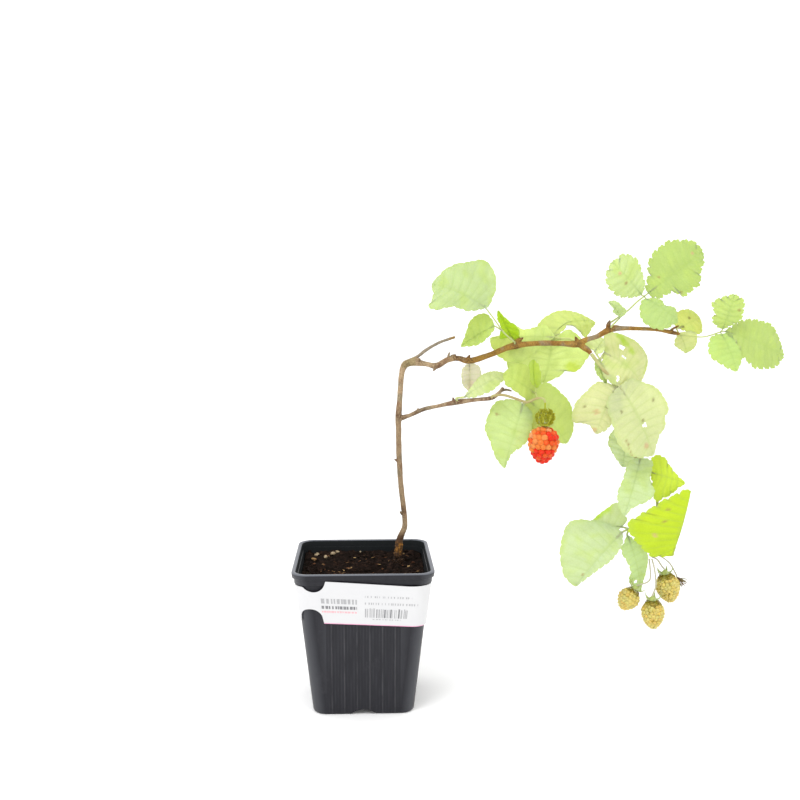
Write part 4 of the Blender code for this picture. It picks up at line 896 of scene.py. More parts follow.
def blade(growth, leaflet, seed):
    """A thin toothed sheet, quilted between its veins, with its ribs standing out beneath it."""
    per_tooth, columns, teeth = 8, 12, leaflet.teeth
    count = per_tooth * teeth
    skin, flats, tints, marks, faces, rows = [], [], [], [], [], {}

    def grow(flat, angle, share, reach, sign):
        """One point of the sheet: reach runs from 0 on the midrib to 1 on the edge."""
        x, y = flat.x, sign * flat.y
        stage = share * teeth
        panel = 0.5 - 0.5 * math.cos(2 * math.pi * (stage - 0.62))
        wave, crimp, patch = (noise.noise(Vector((x * scale, y * scale, seed + more)))
                              for scale, more in ((0.09, 0), (0.35, 5), (0.13, 11)))
        lift = 0.26 * panel * math.sin(math.pi * min(1, 0.1 + reach)) - 0.2 * (reach == 0)
        lift += 1.2 * wave * reach ** 1.5 + 0.2 * crimp + 0.22 * reach ** 3 * math.cos(2 * math.pi * stage)
        skin.append(leaflet.point(x, y, angle) + leaflet.front * lift)
        flats.append(Vector((x, y)))
        shade = mix(leaflet.tint, leaflet.other_tint, 0.45 * smooth_step(patch, 0.0, 0.6))
        shade = mix(shade, VEIN_GREEN, 0.30 * smooth_step(reach, 0.82, 1.0))
        for along, out, radius, colour in leaflet.spots:
            away = math.hypot(x - along, y - out) + 0.4 * radius * crimp
            shade = mix(shade, colour, 0.7 * (1 - smooth_step(away, radius * 0.5, radius * 1.1)))
        tints.append(shade)
        close = abs((stage - 0.62 + 0.5) % 1 - 0.5) * per_tooth
        marks.append(1.0 if reach == 0 else max(0.0, 1 - close * 0.9) * (1 - 0.6 * reach))
        return len(skin) - 1

    for sign, outline, angle in leaflet.halves:
        edge = leaf_edge(outline, leaflet.length, teeth, count, leaflet.bite)
        for k in range(count + 1):
            share = k / count
            bulge = 4 * share * (1 - share)
            start = Vector((leaflet.length * share * (1 - 0.22 * (1 - share)), sign * leaflet.bow * bulge))
            if (0, k) not in rows:
                rows[0, k] = grow(start, 0, share, 0, 1)
            for j in range(1, columns + 1):
                if k in (0, count):
                    rows[sign * j, k] = rows[0, k]
                    continue
                reach = j / columns
                flat = start.lerp(edge[k], reach)
                flat.x -= 0.05 * leaflet.length * reach * (1 - reach) * bulge
                rows[sign * j, k] = grow(flat, angle, share, reach, sign)
        for k in range(count):
            for j in range(columns):
                corners = ((j, k), (j + 1, k), (j + 1, k + 1), (j, k + 1))
                loop = list(dict.fromkeys(rows[sign * column, row] for column, row in corners))
                middle = sum((flats[corner] for corner in loop), Vector((0, 0))) / len(loop)
                if all((middle - Vector(hole[:2])).length > hole[2] for hole in leaflet.holes):
                    faces.append(loop[::-1] if sign == 1 else loop)
    add_sheet(growth, skin, faces, tints, marks, 0.34)
    ribs = [([rows[0, k] for k in range(1, count, per_tooth // 2)], 0.34)]
    for n in range(teeth):
        k = n * per_tooth + 5
        ribs += [([rows[sign * j, k] for j in range(0, columns, 2)], 0.2) for sign in (1, -1)]
    for line, thick in ribs:
        sunk = [skin[corner] - leaflet.front * 0.4 for corner in line]
        stops = [(*point, thick * (1 - 0.75 * n / (len(line) - 1))) for n, point in enumerate(sunk)]
        growth.stem(stops, 5, mix(leaflet.tint, PALE_UNDERSIDE, 0.5), steps=1)


def add_sheet(growth, skin, faces, tints, marks, thickness):
    """A closed sheet of even thickness round an open skin, paler beneath."""
    normals = [Vector() for _ in skin]
    borders = set()
    for loop in faces:
        normal = geometry.normal([skin[n] for n in loop])
        for n, corner in enumerate(loop):
            normals[corner] += normal
            borders.add((corner, loop[(n + 1) % len(loop)]))
    size = len(skin)
    points = [point + normal.normalized() * thickness / 2 for point, normal in zip(skin, normals)]
    points += [point - normal.normalized() * thickness / 2 for point, normal in zip(skin, normals)]
    closed = [tuple(loop) for loop in faces]
    closed += [tuple(corner + size for corner in reversed(loop)) for loop in faces]
    for a, b in sorted(borders):
        if (b, a) not in borders:
            closed.append((b, a, a + size, b + size))
    used = sorted({corner for loop in closed for corner in loop})
    index = {corner: n for n, corner in enumerate(used)}
    under = [mix(tint, PALE_UNDERSIDE, 0.55) for tint in tints]
    both_tints, both_marks = tints + under, marks + marks
    closed = [tuple(index[corner] for corner in loop) for loop in closed]
    growth.add([points[corner] for corner in used], closed,
               [both_tints[corner] for corner in used], [both_marks[corner] for corner in used])


def leaf_material(name):
    """Soft leaf skin: the tint of each place, darker veins, a fine net between them and a mottled bloom."""
    made = Paint(name, Roughness=0.6, Specular_IOR_Level=0.3, Subsurface_Weight=0.5,
                 Subsurface_Radius=(1.0, 1.0, 0.5), Subsurface_Scale=0.0025)
    net = made.cells(620, "DISTANCE_TO_EDGE")
    shade = made.times(made.ranged(net, 0.0, 0.12, 0.93, 1.0),
                       made.ranged(made.noise(90, 6, 0.6), 0.3, 0.7, 0.93, 1.07))
    on_vein = made.ranged(made.stored("mark", "Fac"), 0.0, 1.0, 0.0, 0.28)
    return made.coat(made.blend(on_vein, made.tinted(shade), VEIN_GREEN), Normal=made.bump(net, 0.35, 0.0003))


LEAF_SKINS = {slot: leaf_material(slot.replace("_", " ")) for slot in
              ("leaf_pale", "leaf_yellow", "leaf_vivid", "leaf_withered")}


def leaving(stem, stop, towards):
    """The first two points of a stalk that leaves a stem square to it, just clear of its bark."""
    here, before, after = (Vector(stem[n][:3]) for n in (stop, stop - 1, stop + 1))
    axis = (after - before).normalized()
    out = Vector(towards) - here
    out = (out - axis * out.dot(axis)).normalized()
    return [here + out * (stem[stop][3] - 0.4), here + out * (stem[stop][3] + 1.8)]


def leaf(node, slot, radius, petiole, *leaflets):
    """One leaf: its petiole, and leaflets on stalks from the petiole's end."""
    growth = Growth()
    petiole = [Vector(point) for point in petiole]
    seed = sum(ord(letter) for letter in node) * 0.37
    for number, leaflet in enumerate(leaflets):
        blade(growth, leaflet, seed + 3.1 * number)
        own = [Vector(stop) for stop in leaflet.via]
        own += [leaflet.point(leaflet.length * share) - leaflet.front * 0.25 for share in (0.0, 0.06, 0.14)]
        line = petiole + own if number == 0 else petiole[-1:] + own
        thick = radius if number == 0 else radius * 0.8
        stops = [(*point, thick * (1 - 0.4 * k / len(line))) for k, point in enumerate(line)]
        growth.stem(stops, 8, mix(SHOOT_GREEN, leaflet.tint, 0.4), steps=5, gnarl=0.06)
        hairs(growth, stops, 1.2, 0.7, 0.04, seen(226, 230, 180))
    grown = growth.piece(node + "_blades", LEAF_SKINS[slot], sharp=80)
    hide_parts(node)
    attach(grown, "root")


leaf("leaf_cane_side", "leaf_pale", 0.6,
     leaving(CANE, NODE_CANE_SIDE, (92, -14, 246)) + [(94, -6.5, 240), (90, -7.5, 244)],
     Leaflet((79, -10, 258.5), (43.5, -20, 273.5), (0.10, -0.85, 0.50), 4, -8, 9, seen(200, 226, 164),
             "8,6 14.5,9.5 24.5,11 33.5,16 38,15 37,8.5",
             "-2,3 -5,14.5 -5.5,21.5 -3.5,31 1.5,37 8,35.5 17.5,28 27.5,20.5 34,12.5", via=[(84, -9, 252)]),
     Leaflet((85, -6.5, 247), (64, 0, 233.5), (-0.35, -0.85, 0.40), 2, 10, 6, FRESH, "2,3 7,6 13,7 18.5,5",
             "0,8 4.5,11.5 11.5,10.5 16.5,6.5 21,3"))
leaf("leaf_folded_green", "leaf_vivid", 0.7, leaving(CANE, NODE_CANE_SIDE, (98, 8, 239)),
     Leaflet((97.6, 5, 240), (88.5, 3.5, 257), (-0.45, -0.85, 0.25), 1.5, 25, 6, DEEP, "2.5,7 8.5,3 15,2.5",
             "-5.5,3.5 3.5,8 10.5,4", fresh=False))
# Its first and third leaflets are painted lighter than their own green: painted light that makes up for the
# shade of the branch in front of them.
leaf("leaf_behind_branch", "leaf_pale", 0.9,
     leaving(CANE, NODE_BEHIND, (138, 9, 238)) + [(137, 7, 238), (132, 11, 238)],
     Leaflet((127, 18.5, 237), (122, 18.5, 208), (0.05, -1.0, 0.0), 4, 8, 9, seen(237, 266, 166),
             "-8.5,10 -3.5,20 2,26.5 10.5,23.5 17.5,19.5 18.4,14 19,11.5 23.5,8.5",
             "-6.5,10.5 3,19.5 12.5,27.5 19,29 25.5,24.5 29,12", spots=[(16.3, 16.3, 6.0, VIVID)]),
     Leaflet((128, 19, 239), (157.5, 22.5, 248.5), (0.10, -0.85, 0.50), 3, -10, 7, seen(212, 232, 138),
             "-6,10.5 -1,15.5 6.5,17 15.5,15 24,9", "7,-1 12.5,-4 16.5,0 20,8 25.5,4.5",
             via=[(131, 16, 238)], bow=5.5),
     Leaflet((128, 11, 239), (84.5, 11, 238.5), (-0.10, -0.88, 0.40), 2, -6, 7, seen(234, 260, 148),
             "8.5,5.5 21.5,16 33,16.5 41.5,8.5", "6,9 13,7 21.5,5 25,7.5 33.5,2.5"))
leaf("leaf_withered", "leaf_withered", 0.6, leaving(CANE, NODE_WITHERED, (71, 14, 223)),
     Leaflet((71, 12.4, 222), (71.5, 16, 202.5), (0.1, -0.95, 0.2), 2, 28, 6, seen(248, 242, 222),
             "1,5.5 5.5,7.5 11.5,6", "2,5 6,7 13.5,6", fresh=False,
             spots=[(15, 3, 5, seen(250, 226, 208))]))
leaf("leaf_lower_node", "leaf_pale", 0.8, leaving(LOWER_BRANCH, LOWER_NODE, (66, -6, 202)),
     Leaflet((66, -4.4, 201), (94, 4, 215.5), (-0.20, -0.80, 0.55), 2, -8, 8, seen(222, 240, 172),
             "7,3 18.5,7 27,5.5", "5,4 12,6 18.5,6.5 27.5,4"))
leaf("leaf_lower_tip", "leaf_pale", 0.8,
     leaving(BERRY_LATERAL, SHOOT_TWO_LEAVES, (106, 0, 197)) + [(106, -5.6, 197)],
     Leaflet((104.6, -3.4, 196), (93, -3, 153.5), (-0.15, -0.95, 0.25), 3.5, -6, 10, seen(206, 234, 158),
             "4.5,7.5 18.5,10 26.5,7 33,2", "-1.5,5 2,15 7.5,19 21.5,19.5 28.5,14.5 39,7",
             spots=[(11, -14.1, 1.3, SPOT_BROWN)]),
     Leaflet((108, -0.6, 199.4), (137, 10.5, 168), (0.05, -0.95, 0.30), 3, -6, 9, seen(210, 236, 136),
             "-1,11 4.5,18 15.5,20 26.5,20 35.5,15 43,7.5", "5,8.5 20.5,13 34,8"))
leaf("leaf_folded_over_berry", "leaf_vivid", 0.7,
     leaving(BERRY_LATERAL, SHOOT_FOLDED, (112, -6, 203)) + [(112, -7, 203.4)],
     Leaflet((111.6, -4.4, 203.4), (91.5, -4, 216), (-0.2, -0.88, 0.45), 2, -8, 6, seen(207, 230, 120),
             "-1,6.5 6,6.5 14,6 19.5,5.5", "2.5,7 12,13.5 20,10"),
     Leaflet((112.4, -7.4, 207), (111, -5.5, 225.5), (-0.75, -0.65, 0.1), 1.5, 25, 5, seen(196, 226, 88),
             "4,2.5 10.5,2.5 16,3", "2,8 8.5,11 15,7.5"))
leaf("leaf_at_knot", "leaf_pale", 0.8,
     leaving(FRUITING_LATERAL, LATERAL_TOP, (157, 2, 223)) + [(155.6, -1, 224.6)],
     Leaflet((159, 2, 229), (184.5, 6.5, 209), (0.25, -0.80, 0.55), 4, -6, 10, seen(234, 242, 176),
             "-3,6 -3.5,16 3.5,22.5 15,24.5 24,25.5 32.5,25.5 34.5,15.5",
             "1.5,9 5.5,16.5 15.5,18 24.5,12.5", holes=[(9.2, 12.5, 2.3), (12.4, 5.1, 1.9),
             (14, -11.4, 1.2), (14.9, -13.4, 1.2)], spots=[(6, 20.1, 3.6, DEEP), (10.6, 17.6, 3.6, DEEP),
             (16.5, 14.7, 3.4, DEEP)]),
     Leaflet((152.6, -2.4, 224.6), (160, -1, 208.5), (-0.1, -0.95, 0.2), 1, -6, 5, PALE, "3,2.5 8.5,3 13,2",
             "3,2.5 8.5,3.2 13,2"),
     # This small leaflet is painted lighter than its own green: painted light that makes up for the shade it
     # lies in under the others.
     Leaflet((152.5, 1.4, 230), (159.5, 7.5, 237.5), (0.0, -0.85, 0.5), 1, 12, 5, seen(248, 268, 186),
             "0,7 5.5,8 10.5,5", "-1,2.5 3.5,4.5"))
leaf("leaf_hanging_yellow", "leaf_yellow", 0.9, leaving(FRUITING_LATERAL, LATERAL_YELLOW, (166, -10, 209)),
     Leaflet((166.6, -8.4, 208), (188, -14.5, 163.5), (0.25, -0.92, 0.30), 4, -5, 11, YELLOW,
             "-1,10 4,16.5 13,24.5 27,25 31.5,19.5 37,17 40.5,10", "5,13.5 19,18.5 34,20 45.5,12",
             holes=[(29.5, 2.2, 1.6)], spots=[(17.9, 16.9, 1.2, SPOT_DARK), (15, -9, 1.2, SPOT_DARK),
             (26.3, 1.4, 1.2, SPOT_DARK), (42, -2.9, 2.2, SPOT_PINK),
             *((along, -14.5, 1.0, SPOT_BROWN) for along in (33, 35.5, 38, 40.5, 43, 45.5))], fresh=False),
     Leaflet((165, -6.6, 208), (151.5, -9.5, 177), (-0.30, -0.90, 0.30), 3, -5, 9, seen(234, 240, 180),
             "5.5,5.5 16.5,9 25.5,6.5 30,4.5", "1,8.5 3,13 11,16.5 19,19.5 25,19.5 32,17 30,7",
             spots=[(20.1, -13.2, 1.3, SPOT_DARK), (15, 0.7, 1.2, SPOT_DARK), (20.5, -4.7, 2.2, SPOT_PINK),
             (31.7, -1.8, 2.0, SPOT_PINK)], fresh=False))
leaf("leaf_hanging_green", "leaf_pale", 0.8, leaving(FRUITING_LATERAL, LATERAL_GREEN, (176, 12, 173)),
     Leaflet((176, 10, 172), (175, 10.5, 151.5), (0.0, -0.98, 0.1), 1.5, 4, 7, seen(224, 250, 200),
             "1.5,10 9,14 18,7.5", "-4.5,8 3.5,11.5 10,8.5 15.5,4.5"))
leaf("leaf_middle", "leaf_pale", 0.8, leaving(FRUITING_LATERAL, LATERAL_MIDDLE, (183, -8, 160)),
     Leaflet((183.4, -1.6, 160), (171, -12, 123), (-0.15, -0.95, 0.25), 4, 8, 9, seen(214, 240, 180),
             "1,8 13,9 20.5,14 27,11.5 33.5,4", "5.5,6.5 19,7.5 27.5,8.5 36.5,5"))
leaf("leaf_middle_vivid", "leaf_vivid", 0.8, leaving(FRUITING_LATERAL, LATERAL_VIVID, (191, -3, 148)),
     Leaflet((191.6, 1.2, 149.4), (214, -1.5, 142.5), (0.20, -0.92, 0.30), 1.5, -4, 7, seen(216, 248, 66),
             "-1,11 5.5,13 10.5,8.5 16,4", "3.5,9 7.5,18 11.5,14.5 15.5,11 19.5,5", bite=0.9, fresh=False))
leaf("leaf_vivid", "leaf_vivid", 0.8, leaving(FRUITING_LATERAL, LATERAL_END, (199, -6, 98)),
     Leaflet((205, -7, 95), (214, -13, 139.5), (0.05, -0.95, 0.25), 3, 4, 11, seen(206, 238, 36),
             "-2,8 -2.5,14.5 2.5,22 9.5,31 16,36 21.5,33.5 24,29.5 26.5,28.5 31.5,22 37.5,16 41,10.5 45,5.5",
             "6,7 22,14 38,9", bite=1.2, spots=[(31.5, 12.6, 1.3, SPOT_BROWN),
             (23.3, 12.5, 1.3, SPOT_BROWN), (12.8, 16.3, 2.0, SPOT_PINK)], via=[(199, -4.6, 95)], back=-76,
             fresh=False))
leaf("leaf_low", "leaf_pale", 0.9,
     leaving(FRUITING_LATERAL, LATERAL_LOW, (192, 6, 112)) + [(184, 2, 113), (177, -2, 112)],
     Leaflet((171.6, -6, 111), (138, -18.5, 78), (-0.30, -0.88, 0.38), 5, -6, 11, seen(206, 230, 178),
             "8,5.5 20,7 29.5,5 40,2.5", "1.5,9 3.5,16 8.5,22 14,28 21.5,30 35.5,23.5 43.5,16 48,9",
             spots=[(40, -0.8, 1.2, SPOT_BROWN)]),
     Leaflet((173, -0.6, 113), (149, 8.5, 107.5), (0.1, -0.7, 0.7), 2, 20, 6, seen(206, 230, 176),
             "5.5,3.5 16,-1", "-3.5,5 -0.5,11.5 2,16.5 11,11.5 18,7",
             spots=[(along, -15.0 + 0.58 * (along - 5), 3.4, DEEP) for along in (8, 11, 14, 17, 20, 23)]),
     Leaflet((176, -1.6, 108), (189.5, 10, 65), (0.30, -0.92, 0.2), 2.5, -6, 9, seen(212, 246, 178),
             "12.5,8 20.5,11 27.5,10 38,4", "8,7.5 17.5,6.5 26.5,5.5 33,8", holes=[(35.2, -3.4, 1.3)]))
leaf("leaf_top", "leaf_pale", 0.6,
     leaving(CANE, NODE_TOP, (164, 4, 252)) + [(167, 1.8, 252), (174, 2, 257), (180, 2.4, 262.6),
     (184.5, 2.6, 266)],
     Leaflet((187.4, 4, 268), (226, 14, 295.5), (0.20, -0.90, 0.38), 4, -6, 11, seen(184, 214, 126),
             "2,4 6,7.5 9,9 11.5,13.5 16,17 22,19 28.5,19 33.5,19 41,14.5 47,10.5 49,6",
             "2,5.5 7.5,7.5 11.5,8 15,10.5 17,15 20.5,16 26.5,15.5 31.5,15.5 38,9.5 45,5.5", bite=1.4,
             spots=[(41.1, 3.2, 1.2, SPOT_PINK), (11.7, 3.8, 1.3, SPOT_BROWN),
             (17.4, -12.6, 1.3, SPOT_BROWN)]),
     Leaflet((182.6, 2.6, 267), (161, -4, 288), (-0.30, -0.90, 0.30), 3, -6, 8, seen(210, 236, 164),
             "4,5.5 8,9 12,12 17,12.5 21.5,12.5 26,9.5 29,5.5",
             "4,5.5 10,8.5 16.5,11.5 21.5,12.5 28.5,9 29.5,4.5", bite=1.3,
             spots=[(22.2, 1.6, 1.3, SPOT_PINK), (14.7, 2.9, 1.2, SPOT_BROWN)]),
     Leaflet((185.6, 1.2, 264.4), (205, -4.5, 249.5), (0.20, -0.88, 0.42), 2, -6, 8, seen(193, 225, 142),
             "5,4 9,5 12,3 18.5,6.5", "-1.5,3.5 2,11 8,16 15,16 21,11", bite=0.8))
leaf("leaf_small_curled", "leaf_pale", 0.6, leaving(CANE, NODE_TOP, (166, -8, 251)),
     Leaflet((166.4, -5, 251.6), (158, -8.5, 262.5), (-0.2, -0.7, 0.7), 2, 30, 4, seen(200, 226, 156),
             "3.5,2 9.5,7 9.5,2.5", "1,5.5 7,4.5 12,3.5", fresh=False))
leaf("leaf_at_tip", "leaf_yellow", 0.7, leaving(CANE, NODE_TIP, (207, 12, 246)) + [(208.4, 9.6, 245.4)],
     Leaflet((211, 11.4, 245), (227, 17.5, 251.5), (0.2, -0.90, 0.40), 2, -6, 7, seen(222, 234, 130),
             "-0.5,5 2.5,9.5 7.5,10 14.5,8 17.5,4", "4,5 12,9.5 16.5,5.5", bite=0.8,
             spots=[(2.6, -0.6, 1.4, SPOT_DARK), (9.7, 3.0, 1.3, SPOT_DARK)]),
     Leaflet((210.4, 10, 242), (217, 13.5, 228), (0.1, -0.95, 0.3), 2, 10, 6, seen(226, 237, 164),
             "4,9.5 10.5,9 15,5.5", "1.5,4 5.5,7.5"))
leaf("leaf_far", "leaf_pale", 0.5,
     [Vector(CANE[-1][:3]), (211, 7, 240.6), (216, 6.4, 240), (226, 5, 239.4), (237, 5.6, 242.6)],
     Leaflet((240, 6, 243), (283.5, 14, 226), (0.25, -0.92, 0.30), 4, -6, 11, seen(188, 216, 128),
             "5,5.5 9.5,10.5 16,14 23.5,16 32,17 38.5,13 43.5,8",
             "8,5.5 14.5,12.5 20,15 26,17 34.5,14 43,9", bite=1.4),
     Leaflet((238.2, 5, 244.4), (243.5, 0, 267), (-0.15, -0.90, 0.40), 2, -6, 8, seen(197, 226, 132),
             "1.5,5 5,8.5 8.5,7.5 14,11.5 17.5,9.5 21,5", "4.5,4 9,8.5 16.5,8 21.5,6.5", bite=1.3,
             spots=[(7.6, 8.0, 1.3, SPOT_DARK), (15.2, -5.7, 1.3, SPOT_BROWN)]),
     Leaflet((237.4, 4.6, 241.4), (245.5, -2.5, 217), (0.10, -0.97, 0.25), 2, -6, 8, seen(196, 232, 136),
             "2.5,6 10,6.5 16,7.5 21.5,5.5", "0,7 6.5,12.5 13,13 18.5,9 23.5,4.5", bite=0.9))


# The berries are raspberries: drupelets packed in rows round a core, each with a dried style on its crown.
# One is ripe, orange to red, at the end of the short shoot, and three unripe yellow-green ones hang from the
# long one on thin pedicels.

# Steps over 255 here are painted light, making up for the berry's own shade.
RIPE_TINTS = [seen(*tint) for tint in
              ((276, 186, 124), (276, 168, 88), (272, 150, 64), (268, 106, 34), (266, 56, 14))]
UNRIPE_TINTS = [seen(*tint) for tint in
                ((255, 238, 140), (255, 232, 128), (246, 234, 136), (255, 222, 116), (252, 242, 178))]
STYLE_BROWN = seen(176, 140, 82)


class Berry:
    """The axes and outline of one berry, from the middle of its top to its tip."""

    def __init__(self, top, tip, width):
        self.top, self.width = Vector(top), width
        self.length = (Vector(tip) - self.top).length
        self.axis = (Vector(tip) - self.top).normalized()
        self.side = self.axis.orthogonal().normalized()
        self.across = self.axis.cross(self.side)

    def radial(self, turn):
        return spoke(self.side, self.across, turn)

    def place(self, polar, turn, inset=0.0):
        """A point of the outline and the way out there: polar runs from 0 at the top to pi at the tip."""
        half = self.width / 2
        flat = math.sin(polar) * (1 + 0.25 * math.cos(polar)) * half
        out = self.radial(turn) * math.sin(polar) * self.length / 2 - self.axis * math.cos(polar) * half
        out.normalize()
        point = self.top + self.axis * self.length * (1 - math.cos(polar)) / 2 + self.radial(turn) * flat
        return point - out * inset, out


def drupelets(growth, berry, size, tints, style_length, red_places=()):
    """Rows of drupelets over a core. Those near a red place are riper, and take the last of the tints."""
    turns = [2 * math.pi * k / 24 for k in range(24)]
    # The core is painted darker than the drupelets: painted shade in the gaps between them.
    core = [[berry.place(math.pi * (0.03 + 0.94 * level / 14), turn, size * 0.95)[0] for turn in turns]
            for level in range(15)]
    growth.add(*ring_stack(core), mix(tints[2], STYLE_BROWN, 0.35))
    fine = [math.pi * k / 60 for k in range(61)]
    reach = [0.0]
    for a, b in zip(fine, fine[1:]):
        reach.append(reach[-1] + (berry.place(b, 0)[0] - berry.place(a, 0)[0]).length)
    rows = round(reach[-1] / (size * 1.55))
    for row in range(rows + 1):
        goal = reach[-1] * (0.06 + 0.94 * row / rows)
        n = max(i for i, value in enumerate(reach) if value <= goal + 1e-6)
        polar = fine[n]
        around = (berry.place(polar, 0)[0] - berry.place(polar, math.pi)[0]).length * math.pi
        count = max(1, round(around / (size * 1.78)))
        for k in range(count):
            turn = 2 * math.pi * (k + 0.5 * (row % 2) + 0.16 * dice.uniform(-1, 1)) / count
            middle, out = berry.place(polar + 0.03 * dice.uniform(-1, 1), turn, size * 0.8)
            along = out.orthogonal().normalized()
            across = out.cross(along)
            wide, tall = size * dice.uniform(0.92, 1.06), size * dice.uniform(0.98, 1.12)
            points = [middle + (along * p.x + across * p.y) * wide + out * p.z * tall for p in BALL_POINTS]
            riper = any((middle - Vector(place)).length < near for place, near in red_places)
            tint = tints[dice.choice((3, 4, 4) if riper else (0, 1, 1, 2, 3))]
            # Painted shade: each drupelet is deeper in colour at its foot, where it meets the others, than on
            # its crown.
            base = mix(tint, tints[3], 0.35)
            painted_shading = [mix(base, tint, smooth_step(p.z, -0.4, 0.6)) for p in BALL_POINTS]
            growth.add(points, BALL_FACES, painted_shading, [smooth_step(p.z, 0.0, 1.0) for p in BALL_POINTS])
            if dice.random() < 0.85:
                start = middle + out * tall * 0.93
                lean = berry.axis * 0.5 + along * dice.uniform(-0.5, 0.5) + across * dice.uniform(-0.5, 0.5)
                end = start + (out + lean).normalized() * style_length * dice.uniform(0.6, 1.1)
                bent = start.lerp(end, 0.5) + out * style_length * 0.12
                growth.stem([(*start, 0.13), (*bent, 0.075), (*end, 0.05)], 4, STYLE_BROWN, steps=2)


def berry_material(name, **inputs):
    """Juicy skin: the tint of each drupelet with a painted highlight towards its crown, cloudy inside, with a
    faint bloom and a soft gloss.
    """
    made = Paint(name, Subsurface_Weight=0.4, Subsurface_Scale=0.0015, **inputs)
    flesh = made.ranged(made.noise(420, 4), 0.3, 0.7, 0.86, 1.12)
    rise = made.ranged(made.stored("mark", "Fac"), 0.0, 1.0, 0.92, 1.04)
    dimples = made.bump(made.noise(2600, 2), 0.15, 0.0001)
    return made.coat(made.tinted(made.times(flesh, rise)), Normal=dimples)


def grow_berry(name, node, slot, skin, *shape):
    growth = Growth()
    drupelets(growth, *shape)
    made = growth.piece(name, skin)
    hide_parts(node)
    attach(made, "root")


RIPE = Berry((117, -14, 182.4), (115.7, -14, 158.5), 19.0)
RED_PLACES = (((122, -20, 177), 4.6), ((116, -18, 163), 7.5), ((118, -6, 170), 9.0))
UNRIPE = {"left": Berry((181, -3, 70), (172.8, -3, 57.6), 13.5),
          "low": Berry((193, -6, 63.4), (193.8, -6, 44.8), 14.5),
          "right": Berry((204.4, 4, 78.4), (208.6, 4.4, 59.6), 15.5)}
ripe_skin = berry_material("ripe berry", Roughness=0.34, Coat_Weight=0.03, Specular_IOR_Level=0.2,
                           Subsurface_Radius=(1.0, 0.35, 0.15))
unripe_skin = berry_material("unripe berry", Roughness=0.45, Specular_IOR_Level=0.3,
                             Subsurface_Radius=(1.0, 0.9, 0.3))
grow_berry("ripe_berry", "berry_ripe", "ripe_berry", ripe_skin, RIPE, 2.3, RIPE_TINTS, 0.9, RED_PLACES)
for side_name, berry in UNRIPE.items():
    grow_berry("unripe_berry_" + side_name, "berry_unripe_" + side_name, "unripe_berry", unripe_skin,
               berry, 1.55, UNRIPE_TINTS, 1.1)


# Each berry hangs in its calyx: a small downy cup on the pedicel, five or six pointed sepals bent back, and
# the dried stamens of the flower. Those over the ripe berry have curled up into a shaggy olive ball.

SEPAL_OLIVE, SEPAL_GREEN, STAMEN_OLIVE = seen(206, 216, 72), seen(216, 232, 140), seen(186, 188, 32)
STAMEN_YELLOW, STAMEN_BROWN, PEDICEL_PALE = seen(242, 248, 96), seen(160, 124, 40), seen(232, 226, 196)
DRIED = seen(128, 96, 72)
SMALL_BALL, SMALL_BALL_FACES = icosphere(1)


def sepal(growth, berry, root, turn, route, wide, tint):
    """A lance-shaped sepal along (out, up) steps from its root, hollow along its middle."""
    out = berry.radial(turn)
    across = berry.axis.cross(out)
    line = smooth_route([root + out * a - berry.axis * b for a, b in route], 4)
    last, skin, tints, faces, columns = len(line) - 1, [], [], [], 4
    for k, middle in enumerate(line):
        share = k / last
        half = wide * (math.sin(math.pi * min(1, 0.18 + 0.82 * share)) ** 0.8 * (1 - share) + 0.02)
        along = (line[min(k + 1, last)] - line[max(k - 1, 0)]).normalized()
        normal = across.cross(along)
        for j in range(columns + 1):
            step = j / columns * 2 - 1
            skin.append(middle + across * step * half + normal * (step * step * half * 0.35))
            tints.append(mix(tint, SEPAL_GREEN, 0.35 * (1 - abs(step))))
    for k in range(last):
        for j in range(columns):
            a = k * (columns + 1) + j
            faces.append([a, a + 1, a + columns + 2, a + columns + 1])
    add_sheet(growth, skin, faces, tints, [0.0] * len(skin), 0.3)
    stops = [(*point, 0.25 * wide) for point in line[:-2]]
    hairs(growth, stops, 5.0, wide * 0.9, 0.05, mix(tint, SEPAL_GREEN, 0.6))


def sepal_ring(growth, berry, count, middle, off, route, wide, tint):
    """Sepals spread evenly round a calyx, their roots a little off its middle."""
    for n in range(count):
        turn = 2 * math.pi * (n + 0.3) / count
        sepal(growth, berry, middle + berry.radial(turn) * off, turn, route, wide, tint)


def stamen(growth, start, end, bow, tint, thick=0.1):
    """A bowed filament with a small anther at its end."""
    middle = start.lerp(end, 0.55) + bow
    growth.stem([(*start, thick), (*middle, thick * 0.8), (*end, thick * 0.7)], 4, tint, steps=2)
    anther = Vector([dice.uniform(0.9, 1.3) * max(0.3, thick * 1.7) for _ in range(3)])
    points = [end + point * anther for point in SMALL_BALL]
    growth.add(points, SMALL_BALL_FACES, mix(tint, STAMEN_BROWN, 0.25))


felty = Paint("calyx", Roughness=0.7, Specular_IOR_Level=0.1)
felt = felty.noise(1800, 4)
calyx_skin = felty.coat(felty.tinted(felty.ranged(felt, 0.3, 0.7, 0.8, 1.15)),
                        Normal=felty.bump(felt, 0.4, 0.0002))


def calyx_cup(growth, berry, cup, tint):
    """The cup over a berry's top. Returns its middle."""
    middle = berry.top - berry.axis * 1.3
    dome = [(*(middle - berry.axis * rise), cup * wide) for rise, wide in
            ((2.6, 0.15), (2.1, 0.45), (1.4, 0.75), (0.6, 1.0), (-0.2, 1.0), (-0.6, 0.8))]
    growth.stem(dome, 14, tint, steps=3)
    return middle


def ride_calyx(growth, name, node):
    made = growth.piece(name, calyx_skin)
    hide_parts(node)
    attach(made, "root")


